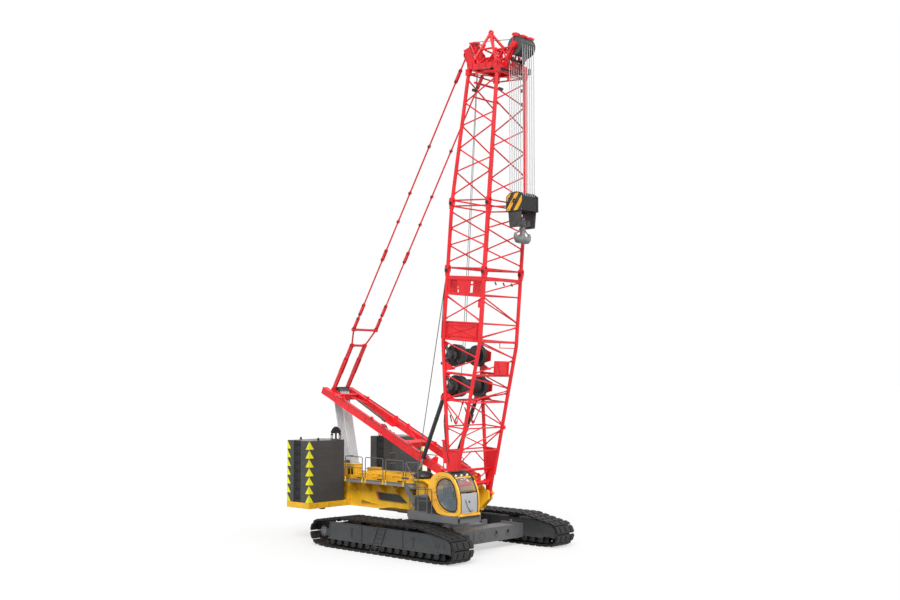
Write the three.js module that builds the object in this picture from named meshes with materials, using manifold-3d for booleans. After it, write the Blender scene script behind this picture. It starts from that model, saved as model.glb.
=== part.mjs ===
// Crawler crane with a lattice boom: tracks, turntable, cab, counterweights, luffing mast, pendants, boom, hook.
// Millimetres, +X forward, +Y to the crane's left, +Z up. Ground at Z = 0.
import * as THREE from "three";
import { mergeVertices } from "three/addons/utils/BufferGeometryUtils.js";
import Module from "manifold-3d";

const wasm = await Module();
wasm.setup();

// ---------- driving dimensions ----------
const FIT = 0.3; // gap between faces that rest on each other
const SLEW_X = 1030; // slewing axis ahead of the middle of the overall length

// undercarriage
const TRACK_LENGTH = 9170;
const TRACK_HEIGHT = 1450;
const SHOE_WIDTH = 1210;
const TRACK_CENTRES = 6820;
const SHOE_COUNT = 48;
const SHOE_THICKNESS = 90;
const LINK_THICKNESS = 80;
const SPROCKET_WRAP_RADIUS = 580; // outside of the shoes round the rear sprocket
const IDLER_WRAP_RADIUS = 550; // outside of the shoes round the front idler
const FRAME_HALF_WIDTH = 340; // track side frame
const ROLLER_RADIUS = 150;
const ROLLER_COUNT = 9;
const BEAM_FRONT_X = 2500; // front face of the cross beams
const BEAM_LENGTH = 950;
const BEAM_BOTTOM = 340;
const BEAM_TOP = 970;
const DRUM_RADIUS = 1250;
const RING_RADIUS = 1180;
const RING_BOTTOM = 1260;
const RING_SPLIT = 1400;

// turntable
const TABLE_BOTTOM = 1560;
const TABLE_TOP = 2850;
const TABLE_REAR_X = -6560;
const GIRDER_OUTER_Y = 1180;
const GIRDER_PLATE = 110;
const DECK_PLATE = 40;
const HOOD_TOP = 3240;
const HOOD_FRONT_X = 250;
const HOOD_REAR_X = -4850;
const HOOD_SHEET = 40;
const WALKWAY_WIDTH = 540;
const WALKWAY_THICKNESS = 110;

// counterweight
const STACK_FRONT_X = -4990;
const STACK_DEPTH = 1640;
const STACK_INNER_Y = 1590;
const STACK_OUTER_Y = 3770;
const STACK_TOP = 4730;
const SLAB_COUNT = 7;
const SLAB_GROOVE = 12;
const TRAY_THICKNESS = 270;

// cab and its platform
const CAB_REAR_X = 2080;
const CAB_FRONT_X = 3930;
const CAB_OUTER_Y = -3000;
const CAB_WIDTH = 1260;
const CAB_BOTTOM = 1880;
const CAB_TOP = 3680;
const CAB_SHEET = 45;
const GLASS_THICKNESS = 10;
const GLASS_GAP = 0.5;
const PLATFORM_THICKNESS = 280;

// boom
const BOOM_FOOT_X = 1800;
const BOOM_FOOT_Z = 2420;
const BOOM_TILT = 5; // degrees ahead of upright
const BOOM_HALF_DEPTH = 1100;
const BOOM_HALF_WIDTH = 1250;
const FOOT_LENGTH = 10050;
const FOOT_TAPER_LENGTH = 6800;
const INSERT_LENGTH = 3030;
const TOP_LENGTH = 6000;
const BOOM_LENGTH = FOOT_LENGTH + INSERT_LENGTH + TOP_LENGTH; // to the head's foot
const TOP_HALF_DEPTH = 850;
const TOP_HALF_WIDTH = 950;
const CHORD_RADIUS = 85;
const BRACE_RADIUS = 34;
const FOOT_PIN_RADIUS = 80;
const EYE_HALF_WIDTH = 60;
const PIN_CLEARANCE = 0.95;
const SIDE_CLEARANCE = 6;

// boom head, measured along the boom (U) and ahead of its middle line (V)
const SHEAVE_SHAFT_U = BOOM_LENGTH + 1040;
const SHEAVE_SHAFT_V = 1370;
const PENDANT_PIN_U = BOOM_LENGTH + 830;
const PENDANT_PIN_V = -1230;
const REAR_SHEAVE_U = BOOM_LENGTH + 1320;
const REAR_SHEAVE_V = -1500;
const HEAD_EYE_U = BOOM_LENGTH + 1920;
const HEAD_EYE_V = -510;
const SHEAVE_RADIUS = 420;
const SHEAVE_COUNT = 6;
const SHEAVE_PITCH = 150;
const SHEAVE_SIDES = 20;

// mast
const MAST_FOOT_X = 1450;
const MAST_FOOT_Z = 3190;
const MAST_ANGLE = 23.7; // degrees above level, leaning to the rear
const MAST_LENGTH = 9700; // foot pin to the ends of the legs
const MAST_HALF_WIDTH = 830;
const MAST_LEG_WIDTH = 300;
const MAST_LEG_DEPTH = 330;

// pendants
const PENDANT_LOW_Y = 430;
const PENDANT_LOW_L = 9480; // lower pin, along the mast
const PENDANT_LOW_HEIGHT = 120; // and above its middle line
const PENDANT_HIGH_Y = 740;
const PENDANT_RADIUS = 45;
const SPREADER_LOW = 2600; // spreader bars, from the pendants' lower pin
const SPREADER_HIGH = 3500;

// backstops
const STOP_Y = 1120;
const STOP_TOP_X = 1200;
const STOP_TOP_Z = 6800;
const STOP_FOOT_X = -440;
const STOP_FOOT_Z = 3270;
const STOP_BARREL_RADIUS = 95;
const STOP_ROD_RADIUS = 50;
const STOP_BARREL_LENGTH = 3050;
const STOP_BORE_TOP = 600; // closed end of the barrel's bore, from the upper pin
const STOP_ROD_TOP = 760; // upper end of the rod, which rises 115 when the boom is raised fully

// hook block
const BLOCK_SHEAVE_Z = 15400;
const HOOK_HALF_THICKNESS = 100;

// ---------- colours ----------
const paint = {
  red: new THREE.MeshStandardMaterial({ color: 0xd0121b, roughness: 0.45, metalness: 0.1 }),
  yellow: new THREE.MeshStandardMaterial({ color: 0xe8a317, roughness: 0.5, metalness: 0.1 }),
  grey: new THREE.MeshStandardMaterial({ color: 0x4c4c4e, roughness: 0.6, metalness: 0.2 }),
  track: new THREE.MeshStandardMaterial({ color: 0x2b2b2c, roughness: 0.7, metalness: 0.4 }),
  black: new THREE.MeshStandardMaterial({ color: 0x1c1c1e, roughness: 0.5, metalness: 0.3 }),
  chrome: new THREE.MeshStandardMaterial({ color: 0xc8ccd0, roughness: 0.2, metalness: 0.9 }),
  glass: new THREE.MeshStandardMaterial({ color: 0x9fb4bf, roughness: 0.1, metalness: 0.0 }),
};

const PIN_SIDES = 24; // pins and bores that turn on each other

// ---------- solids ----------
function solid(geometry) {
  const bare = geometry.clone();
  bare.deleteAttribute("normal");
  bare.deleteAttribute("uv");
  const merged = mergeVertices(bare, 1e-3);
  const mesh = new wasm.Mesh({
    numProp: 3,
    vertProperties: new Float32Array(merged.attributes.position.array),
    triVerts: new Uint32Array(merged.index.array),
  });
  return new wasm.Manifold(mesh);
}

function box(x0, x1, y0, y1, z0, z1) {
  const shape = new THREE.BoxGeometry(x1 - x0, y1 - y0, z1 - z0);
  shape.translate((x0 + x1) / 2, (y0 + y1) / 2, (z0 + z1) / 2);
  return solid(shape);
}

// A round bar between two points.
function bar(from, to, radius, sides = 8) {
  const a = new THREE.Vector3(...from);
  const b = new THREE.Vector3(...to);
  const along = b.clone().sub(a);
  const shape = new THREE.CylinderGeometry(radius, radius, along.length(), sides);
  const up = new THREE.Vector3(0, 1, 0);
  shape.applyQuaternion(new THREE.Quaternion().setFromUnitVectors(up, along.normalize()));
  const middle = a.add(b).multiplyScalar(0.5);
  shape.translate(middle.x, middle.y, middle.z);
  return solid(shape);
}

// A round bar across the crane, centred on (x, z).
function crossBar(x, z, y0, y1, radius, sides = 14) {
  return bar([x, y0, z], [x, y1, z], radius, sides);
}

function outline(points, depth) {
  const shape = new THREE.Shape(points.map(([a, b]) => new THREE.Vector2(a, b)));
  return new THREE.ExtrudeGeometry(shape, { depth, bevelEnabled: false });
}

// Plates cut to an outline: standing lengthwise, standing crosswise, lying flat.
function plateXZ(points, y0, y1) {
  return solid(outline(points, y1 - y0).rotateX(Math.PI / 2).translate(0, y1, 0));
}

function plateYZ(points, x0, x1) {
  const turn = new THREE.Matrix4().makeBasis(
    new THREE.Vector3(0, 1, 0),
    new THREE.Vector3(0, 0, 1),
    new THREE.Vector3(1, 0, 0),
  );
  return solid(outline(points, x1 - x0).applyMatrix4(turn).translate(x0, 0, 0));
}

function plateXY(points, z0, z1) {
  return solid(outline(points, z1 - z0).translate(0, 0, z0));
}

function join(solids) {
  return solids.reduce((sum, next) => sum.add(next));
}

function mirrorY(shape) {
  return shape.mirror([0, 1, 0]);
}

const crane = new THREE.Group();
crane.name = "crawler_crane";
crane.position.x = SLEW_X;

function add(name, shape, material) {
  const mesh = shape.getMesh();
  const geometry = new THREE.BufferGeometry();
  geometry.setAttribute("position", new THREE.BufferAttribute(new Float32Array(mesh.vertProperties), 3));
  geometry.setIndex(new THREE.BufferAttribute(new Uint32Array(mesh.triVerts), 1));
  geometry.computeVertexNormals();
  const part = new THREE.Mesh(geometry, material);
  part.name = name;
  crane.add(part);
}

function addPair(name, shape, material) {
  add(`${name}_left`, shape, material);
  add(`${name}_right`, mirrorY(shape), material);
}

// ---------- tracks ----------
const SPROCKET_X = -TRACK_LENGTH / 2 + SPROCKET_WRAP_RADIUS;
const SPROCKET_Z = SPROCKET_WRAP_RADIUS + 60;
const IDLER_X = TRACK_LENGTH / 2 - IDLER_WRAP_RADIUS;
const IDLER_Z = IDLER_WRAP_RADIUS + 35;
const BELT = SHOE_THICKNESS + LINK_THICKNESS;
const TRACK_Y = TRACK_CENTRES / 2;
const GROUND_HALF = TRACK_LENGTH * 0.38;
const TOP_HALF = TRACK_LENGTH * 0.27;

function convexHull(points) {
  const sorted = [...points].sort((p, q) => p[0] - q[0] || p[1] - q[1]);
  const turn = (o, a, b) => (a[0] - o[0]) * (b[1] - o[1]) - (a[1] - o[1]) * (b[0] - o[0]);
  const half = (list) => {
    const out = [];
    for (const p of list) {
      while (out.length > 1 && turn(out[out.length - 2], out[out.length - 1], p) <= 1e-6) out.pop();
      out.push(p);
    }
    out.pop();
    return out;
  };
  return [...half(sorted), ...half(sorted.reverse())];
}

// Points round a circle; count is a multiple of four, so its top and bottom are among them.
function circlePoints(x, z, radius, count) {
  return Array.from({ length: count }, (_, i) => {
    const angle = (i * 2 * Math.PI) / count;
    return [x + radius * Math.cos(angle), z + radius * Math.sin(angle)];
  });
}

// The belt's path at a given depth under the outside of the shoes.
function beltPath(inset, count = 40) {
  const corner = 260;
  const round = inset > 0 ? 1 / Math.cos(Math.PI / count) : 1;
  const corners = [
    [-GROUND_HALF, corner],
    [GROUND_HALF, corner],
    [-TOP_HALF, TRACK_HEIGHT - corner],
    [TOP_HALF, TRACK_HEIGHT - corner],
  ];
  const points = [
    ...circlePoints(SPROCKET_X, SPROCKET_Z, (SPROCKET_WRAP_RADIUS - inset) * round, count),
    ...circlePoints(IDLER_X, IDLER_Z, (IDLER_WRAP_RADIUS - inset) * round, count),
    ...corners.flatMap(([x, z]) => circlePoints(x, z, corner - inset, 16)),
  ];
  return convexHull(points);
}

// Points at even steps round a closed path, each with its inward direction.
function stepsAlong(path, fractions) {
  const lengths = path.map((p, i) => Math.hypot(path[(i + 1) % path.length][0] - p[0],
    path[(i + 1) % path.length][1] - p[1]));
  const total = lengths.reduce((sum, one) => sum + one, 0);
  return fractions.map((fraction) => {
    let rest = (fraction - Math.floor(fraction)) * total;
    let i = 0;
    while (rest > lengths[i]) {
      rest -= lengths[i];
      i += 1;
    }
    const a = path[i];
    const b = path[(i + 1) % path.length];
    const t = rest / lengths[i];
    const along = [(b[0] - a[0]) / lengths[i], (b[1] - a[1]) / lengths[i]];
    return { x: a[0] + along[0] * rest, z: a[1] + along[1] * rest, inX: -along[1], inZ: along[0], t };
  });
}

// One shoe stands proud between two grooves, all the way round the loop.
function trackLoop() {
  const outer = beltPath(0);
  const groove = 0.12;
  const edge = [];
  for (let i = 0; i < SHOE_COUNT; i += 1) {
    const [a, b] = stepsAlong(outer, [(i + groove / 2) / SHOE_COUNT, (i + 1 - groove / 2) / SHOE_COUNT]);
    const sink = SHOE_THICKNESS * 0.6;
    edge.push([a.x + a.inX * sink, a.z + a.inZ * sink]);
    edge.push([a.x, a.z]);
    edge.push([b.x, b.z]);
    edge.push([b.x + b.inX * sink, b.z + b.inZ * sink]);
  }
  const y0 = TRACK_Y - SHOE_WIDTH / 2;
  const y1 = TRACK_Y + SHOE_WIDTH / 2;
  const belt = plateXZ(edge, y0, y1);
  const hole = plateXZ(beltPath(BELT, 20), y0 - 10, y1 + 10);
  const clear = box(-TRACK_LENGTH, TRACK_LENGTH, y0 - 20, y1 + 20, -500, 0);
  return belt.subtract(hole).subtract(clear);
}

function wheel(x, z, radius, width, sides, boreRadius) {
  const rim = crossBar(x, z, TRACK_Y - width / 2, TRACK_Y + width / 2, radius, sides);
  const hub = crossBar(x, z, TRACK_Y - width / 2 - 60, TRACK_Y + width / 2 + 60, radius * 0.45, 12);
  const bore = crossBar(x, z, TRACK_Y - width, TRACK_Y + width, boreRadius + FIT, 16);
  return rim.add(hub).subtract(bore);
}

const AXLE_RADIUS = 90;
const WHEEL_WIDTH = 260;
const SPROCKET_RADIUS = SPROCKET_WRAP_RADIUS - BELT - 4;
const IDLER_RADIUS = IDLER_WRAP_RADIUS - BELT - 4;

function sideFrame() {
  const y0 = TRACK_Y - FRAME_HALF_WIDTH;
  const y1 = TRACK_Y + FRAME_HALF_WIDTH;
  const low = BELT + ROLLER_RADIUS;
  const high = TRACK_HEIGHT - BELT - 130;
  const back = SPROCKET_X + SPROCKET_RADIUS + 40;
  const front = IDLER_X - IDLER_RADIUS - 40;
  const beam = plateXZ(
    [[back, low + 80], [back + 300, low], [front - 300, low], [front, low + 80],
      [front, high - 260], [front - 900, high], [back + 700, high], [back, high - 200]],
    y0, y1,
  );
  const pieces = [beam];
  const span = front - back - 700;
  for (let i = 0; i < ROLLER_COUNT; i += 1) {
    const x = back + 350 + (span * i) / (ROLLER_COUNT - 1);
    pieces.push(crossBar(x, BELT + ROLLER_RADIUS + FIT, y0 + 20, y1 - 20, ROLLER_RADIUS, 8));
  }
  for (const x of [-1500, 1500]) {
    pieces.push(crossBar(x, TRACK_HEIGHT - BELT - 100 - FIT, y0 + 60, y1 - 60, 100, 8));
  }
  for (const side of [-1, 1]) {
    const inner = TRACK_Y + side * (WHEEL_WIDTH / 2 + 80);
    const outer = TRACK_Y + side * (WHEEL_WIDTH / 2 + 160);
    const near = Math.min(inner, outer);
    const far = Math.max(inner, outer);
    pieces.push(forkPlate(SPROCKET_X, SPROCKET_Z, back + 200, near, far));
    pieces.push(forkPlate(IDLER_X, IDLER_Z, front - 200, near, far));
  }
  const reach = WHEEL_WIDTH / 2 + 200;
  pieces.push(crossBar(SPROCKET_X, SPROCKET_Z, TRACK_Y - reach, TRACK_Y + reach, AXLE_RADIUS, 16));
  pieces.push(crossBar(IDLER_X, IDLER_Z, TRACK_Y - reach, TRACK_Y + reach, AXLE_RADIUS, 16));
  return join(pieces);
}

function forkPlate(x, z, root, y0, y1) {
  const end = x + Math.sign(x - root) * 150;
  return plateXZ([[root, z - 170], [end, z - 150], [end, z + 150], [root, z + 170]], y0, y1);
}

addPair("track_loop", trackLoop(), paint.track);
addPair("track_frame", sideFrame(), paint.grey);
addPair("drive_sprocket", wheel(SPROCKET_X, SPROCKET_Z, SPROCKET_RADIUS, WHEEL_WIDTH, 24, AXLE_RADIUS), paint.track);
addPair("track_idler", wheel(IDLER_X, IDLER_Z, IDLER_RADIUS, WHEEL_WIDTH, 24, AXLE_RADIUS), paint.track);

// ---------- carbody ----------
function carbody() {
  const reach = TRACK_Y - FRAME_HALF_WIDTH - FIT;
  const pieces = [];
  for (const side of [-1, 1]) {
    const face = side * BEAM_FRONT_X;
    const back = side * (BEAM_FRONT_X - BEAM_LENGTH);
    pieces.push(box(Math.min(face, back), Math.max(face, back), -reach, reach, BEAM_BOTTOM, BEAM_TOP));
  }
  const core = [[-1700, -1000], [-1000, -1400], [1000, -1400], [1700, -1000],
    [1700, 1000], [1000, 1400], [-1000, 1400], [-1700, 1000]];
  pieces.push(plateXY(core, BEAM_BOTTOM + 60, BEAM_TOP + 90));
  pieces.push(bar([0, 0, BEAM_TOP], [0, 0, RING_BOTTOM], DRUM_RADIUS, 32));
  return join(pieces);
}

function ring(z0, z1, outerRadius, innerRadius) {
  const disc = bar([0, 0, z0], [0, 0, z1], outerRadius, 32);
  return disc.subtract(bar([0, 0, z0 - 10], [0, 0, z1 + 10], innerRadius, 32));
}

add("carbody", carbody(), paint.grey);
add("slew_ring_lower", ring(RING_BOTTOM + FIT, RING_SPLIT, RING_RADIUS, RING_RADIUS - 220), paint.track);
add("slew_ring_upper", ring(RING_SPLIT + FIT, TABLE_BOTTOM - FIT, RING_RADIUS - 20, RING_RADIUS - 220), paint.track);

// ---------- turntable ----------
const FORK_INNER_Y = BOOM_HALF_WIDTH - EYE_HALF_WIDTH - SIDE_CLEARANCE;
const FORK_OUTER_Y = BOOM_HALF_WIDTH + EYE_HALF_WIDTH + SIDE_CLEARANCE;

const REAR_TOP = TABLE_TOP - 100;
const STACK_REAR_X = STACK_FRONT_X - STACK_DEPTH;
const TRAY_FRONT_X = STACK_FRONT_X + 10;
const TRAY_TOP = TABLE_BOTTOM + TRAY_THICKNESS;

function girderOutline() {
  return [
    [TABLE_REAR_X, TRAY_TOP + FIT], [TRAY_FRONT_X + FIT, TRAY_TOP + FIT],
    [TRAY_FRONT_X + FIT, TABLE_BOTTOM], [1250, TABLE_BOTTOM],
    [BOOM_FOOT_X + 130, BOOM_FOOT_Z - 250], [BOOM_FOOT_X + 130, BOOM_FOOT_Z + 90],
    [BOOM_FOOT_X + 60, BOOM_FOOT_Z + 150], [BOOM_FOOT_X - 110, BOOM_FOOT_Z + 150],
    [BOOM_FOOT_X - 330, TABLE_TOP],
    [HOOD_REAR_X, TABLE_TOP], [HOOD_REAR_X - 60, REAR_TOP], [TABLE_REAR_X, REAR_TOP],
  ];
}

function turntable() {
  const pieces = [];
  const inner = GIRDER_OUTER_Y - GIRDER_PLATE;
  for (const side of [-1, 1]) {
    const y0 = side > 0 ? inner : -GIRDER_OUTER_Y;
    const y1 = side > 0 ? GIRDER_OUTER_Y : -inner;
    pieces.push(plateXZ(girderOutline(), y0, y1));
    pieces.push(footLug(side));
    pieces.push(mastLugs(side));
    pieces.push(stopLug(side));
  }
  pieces.push(box(TRAY_FRONT_X + 40, 1250, -inner - 5, inner + 5, TABLE_BOTTOM, TABLE_BOTTOM + DECK_PLATE));
  pieces.push(box(TABLE_REAR_X, TABLE_REAR_X + 60, -inner - 5, inner + 5, TRAY_TOP + FIT, REAR_TOP - 40));
  pieces.push(box(STACK_FRONT_X - 60, STACK_FRONT_X + 5, -inner - 5, inner + 5, TRAY_TOP + FIT, REAR_TOP - 60));
  pieces.push(box(1150, 1250, -inner - 5, inner + 5, TABLE_BOTTOM + 20, TABLE_TOP - 60));
  pieces.push(box(1150, MAST_FOOT_X + 40, -inner - 5, inner + 5, TABLE_TOP - 220, TABLE_TOP - 60));
  for (const side of [-1, 1]) {
    pieces.push(crossBar(BOOM_FOOT_X, BOOM_FOOT_Z, side * (GIRDER_OUTER_Y - 40), side * (FORK_OUTER_Y + 60),
      FOOT_PIN_RADIUS, PIN_SIDES));
  }
  return join(pieces);
}

// The outer cheek of the boom foot fork, carried by a block on the girder.
function footLug(side) {
  const shape = [[1150, TABLE_BOTTOM + 40], [1300, TABLE_BOTTOM + 40],
    [BOOM_FOOT_X + 120, BOOM_FOOT_Z - 240], [BOOM_FOOT_X + 120, BOOM_FOOT_Z + 80],
    [BOOM_FOOT_X + 60, BOOM_FOOT_Z + 140], [BOOM_FOOT_X - 100, BOOM_FOOT_Z + 140], [1150, 2250]];
  const cheek = plateXZ(shape, FORK_OUTER_Y, FORK_OUTER_Y + 80);
  const block = box(1150, 1420, GIRDER_OUTER_Y - 20, FORK_OUTER_Y + 20, TABLE_BOTTOM + 60, 2150);
  const both = cheek.add(block);
  return side > 0 ? both : mirrorY(both);
}

function mastLugs(side) {
  const reach = MAST_LEG_WIDTH / 2 - 60;
  const shape = [[MAST_FOOT_X - 170, TABLE_TOP - 120], [MAST_FOOT_X + 130, TABLE_TOP - 120],
    [MAST_FOOT_X + 100, MAST_FOOT_Z + 60], [MAST_FOOT_X + 40, MAST_FOOT_Z + 110],
    [MAST_FOOT_X - 40, MAST_FOOT_Z + 110], [MAST_FOOT_X - 100, MAST_FOOT_Z + 60]];
  const pieces = [];
  for (const edge of [-1, 1]) {
    const a = MAST_HALF_WIDTH + edge * (reach + SIDE_CLEARANCE);
    const b = MAST_HALF_WIDTH + edge * (reach + SIDE_CLEARANCE + 60);
    pieces.push(plateXZ(shape, Math.min(a, b), Math.max(a, b)));
  }
  pieces.push(crossBar(MAST_FOOT_X, MAST_FOOT_Z, MAST_HALF_WIDTH - reach - 70, MAST_HALF_WIDTH + reach + 70,
    FOOT_PIN_RADIUS, PIN_SIDES));
  const all = join(pieces);
  return side > 0 ? all : mirrorY(all);
}

function stopLug(side) {
  const base = TABLE_TOP + 1;
  const shape = [[STOP_FOOT_X - 200, base], [STOP_FOOT_X + 200, base],
    [STOP_FOOT_X + 70, STOP_FOOT_Z + 60], [STOP_FOOT_X - 70, STOP_FOOT_Z + 60]];
  const pieces = [];
  for (const edge of [-1, 1]) {
    const a = STOP_Y + edge * (STOP_ROD_RADIUS + SIDE_CLEARANCE);
    const b = STOP_Y + edge * (STOP_ROD_RADIUS + SIDE_CLEARANCE + 30);
    pieces.push(plateXZ(shape, Math.min(a, b), Math.max(a, b)));
  }
  const edge = STOP_ROD_RADIUS + SIDE_CLEARANCE + 30;
  pieces.push(box(STOP_FOOT_X - 200, STOP_FOOT_X + 200, STOP_Y - edge, STOP_Y + edge, base, base + 40));
  pieces.push(box(STOP_FOOT_X - 180, STOP_FOOT_X + 180, STOP_Y - 20, GIRDER_OUTER_Y - 10, TABLE_TOP - 60, base + 20));
  const all = join(pieces);
  return side > 0 ? all : mirrorY(all);
}

add("turntable_frame", turntable(), paint.yellow);

// ---------- machinery on the turntable ----------
const HOOD_HALF_WIDTH = 1000;

function hood() {
  const shell = box(HOOD_REAR_X, HOOD_FRONT_X, -HOOD_HALF_WIDTH, HOOD_HALF_WIDTH,
    TABLE_BOTTOM + DECK_PLATE + FIT, HOOD_TOP);
  const room = box(HOOD_REAR_X + HOOD_SHEET, HOOD_FRONT_X - HOOD_SHEET, -HOOD_HALF_WIDTH + HOOD_SHEET,
    HOOD_HALF_WIDTH - HOOD_SHEET, TABLE_BOTTOM, HOOD_TOP - HOOD_SHEET);
  return shell.subtract(room);
}

function winchDrum(length, barrel, flange, bore) {
  const half = length / 2;
  const core = crossBar(0, 0, -half, half, barrel, 20);
  const sides = [-1, 1].map((side) => crossBar(0, 0, Math.min(side * half, side * (half - 45)),
    Math.max(side * half, side * (half - 45)), flange, 20));
  const drum = join([core, ...sides]);
  return bore > 0 ? drum.subtract(crossBar(0, 0, -half - 10, half + 10, bore, PIN_SIDES)) : drum;
}

const LUFF_WINCH_X = -5750;
const LUFF_WINCH_Z = 2560;
const LUFF_SHEAVE_X = -6280;
const LUFF_SHEAVE_Z = 3330;

// Cheeks across the rear of the turntable, carrying the luffing sheaves on one shaft.
function luffBracket() {
  const pieces = [];
  const foot = REAR_TOP + FIT;
  const shape = [[LUFF_SHEAVE_X - 240, foot], [LUFF_SHEAVE_X + 330, foot],
    [LUFF_SHEAVE_X + 160, LUFF_SHEAVE_Z + 150], [LUFF_SHEAVE_X - 160, LUFF_SHEAVE_Z + 150]];
  for (const y of [-400, 330]) pieces.push(plateXZ(shape, y, y + 70));
  const sill = -GIRDER_OUTER_Y + 10;
  pieces.push(box(LUFF_SHEAVE_X - 240, LUFF_SHEAVE_X + 330, sill, -sill, foot, foot + 60));
  pieces.push(crossBar(LUFF_SHEAVE_X, LUFF_SHEAVE_Z, -350, 350, 60, PIN_SIDES));
  return join(pieces);
}

// A closed profile of [radius, place along the shaft] turned round a cross shaft.
function turned(profile, x, z, sides) {
  const points = [...profile, profile[0]].map(([radius, y]) => new THREE.Vector2(radius, y));
  return solid(new THREE.LatheGeometry(points, sides).translate(x, 0, z));
}

// Grooved sheaves side by side on one bore.
function sheavePack(x, z, radius, count, pitch, bore) {
  const half = (count * pitch) / 2;
  const corner = bore / Math.cos(Math.PI / SHEAVE_SIDES); // its flats then clear the shaft
  const profile = [[corner, -half], [radius, -half]];
  for (let i = 0; i < count; i += 1) {
    const y = -half + i * pitch;
    profile.push([radius - 60, y + pitch / 2], [radius, y + pitch]);
  }
  profile.push([corner, half]);
  return turned(profile, x, z, SHEAVE_SIDES);
}

function luffWinchFrame() {
  const inner = GIRDER_OUTER_Y - GIRDER_PLATE - FIT;
  const pieces = [];
  for (const side of [-1, 1]) {
    const y = side * 620;
    pieces.push(box(LUFF_WINCH_X - 330, LUFF_WINCH_X + 330, y - 30, y + 30, 2100, 2700));
    pieces.push(crossBar(LUFF_WINCH_X, LUFF_WINCH_Z - 100, Math.min(y, side * 480), Math.max(y, side * 480), 70, PIN_SIDES));
  }
  pieces.push(box(LUFF_WINCH_X - 330, LUFF_WINCH_X + 330, -inner, inner, 1960, 2110));
  return join(pieces);
}

add("machinery_hood", hood(), paint.yellow);
add("engine_block", box(-3900, -1500, -560, 560, TABLE_BOTTOM + DECK_PLATE + FIT, 2950), paint.black);
add("luffing_sheave_bracket", luffBracket(), paint.yellow);
add("luffing_sheaves", sheavePack(LUFF_SHEAVE_X, LUFF_SHEAVE_Z, 290, 6, 100, 60 + PIN_CLEARANCE), paint.black);
add("luffing_winch_frame", luffWinchFrame(), paint.grey);
add("luffing_winch_drum", winchDrum(1100, 210, 330, 70 + PIN_CLEARANCE)
  .translate([LUFF_WINCH_X, 0, LUFF_WINCH_Z - 100]), paint.black);

// ---------- counterweight ----------
function tray() {
  const plate = [[TRAY_FRONT_X, -STACK_OUTER_Y], [TRAY_FRONT_X, STACK_OUTER_Y],
    [STACK_REAR_X, STACK_OUTER_Y], [STACK_REAR_X, -STACK_OUTER_Y]];
  return plateXY(plate, TABLE_BOTTOM, TRAY_TOP);
}

function slabStack() {
  const bottom = TRAY_TOP + FIT;
  const slab = (STACK_TOP - bottom) / SLAB_COUNT;
  const pieces = [];
  for (let i = 0; i < SLAB_COUNT; i += 1) {
    const z = bottom + i * slab;
    pieces.push(box(STACK_REAR_X, STACK_FRONT_X, STACK_INNER_Y, STACK_OUTER_Y, z, z + slab - SLAB_GROOVE));
  }
  pieces.push(box(STACK_REAR_X + 30, STACK_FRONT_X - 30, STACK_INNER_Y + 30, STACK_OUTER_Y - 30,
    bottom + 10, STACK_TOP - 30));
  const slot = box(-5950, -5650, STACK_OUTER_Y - 110, STACK_OUTER_Y + 10, bottom - 10, STACK_TOP + 10);
  const innerSlot = box(-5950, -5650, STACK_INNER_Y - 10, STACK_INNER_Y + 110, bottom - 10, STACK_TOP + 10);
  const lug = box(-5860, -5740, (STACK_INNER_Y + STACK_OUTER_Y) / 2 + 400,
    (STACK_INNER_Y + STACK_OUTER_Y) / 2 + 440, STACK_TOP - 40, STACK_TOP + 110);
  return join(pieces).subtract(slot).subtract(innerSlot).add(lug);
}

add("counterweight_tray", tray(), paint.yellow);
addPair("counterweight_stack", slabStack(), paint.grey);

// ---------- walkways, cab platform, ladder ----------
function walkway() {
  const y0 = GIRDER_OUTER_Y + FIT;
  return box(-4800, -150, y0, y0 + WALKWAY_WIDTH, TABLE_TOP - WALKWAY_THICKNESS, TABLE_TOP);
}

const PLATFORM_TOP = CAB_BOTTOM - FIT;
const PLATFORM_BOTTOM = PLATFORM_TOP - PLATFORM_THICKNESS;
const CAB_INNER_Y = CAB_OUTER_Y + CAB_WIDTH;

function cabPlatform() {
  const deck = box(850, CAB_FRONT_X + 20, CAB_OUTER_Y + 40, CAB_INNER_Y + 60, PLATFORM_BOTTOM, PLATFORM_TOP);
  const arm = box(500, 1050, CAB_OUTER_Y + 300, -FORK_OUTER_Y + 150 - 600, PLATFORM_BOTTOM, PLATFORM_TOP);
  const root = box(200, 1050, CAB_INNER_Y - 200, -GIRDER_OUTER_Y - FIT, PLATFORM_BOTTOM, PLATFORM_TOP);
  const locker = box(1150, 1900, CAB_OUTER_Y + 120, CAB_INNER_Y - 100, PLATFORM_TOP - 10, 2560);
  return join([deck, arm, root, locker]);
}

addPair("walkway", walkway(), paint.grey);
add("cab_platform", cabPlatform(), paint.grey);

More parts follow.
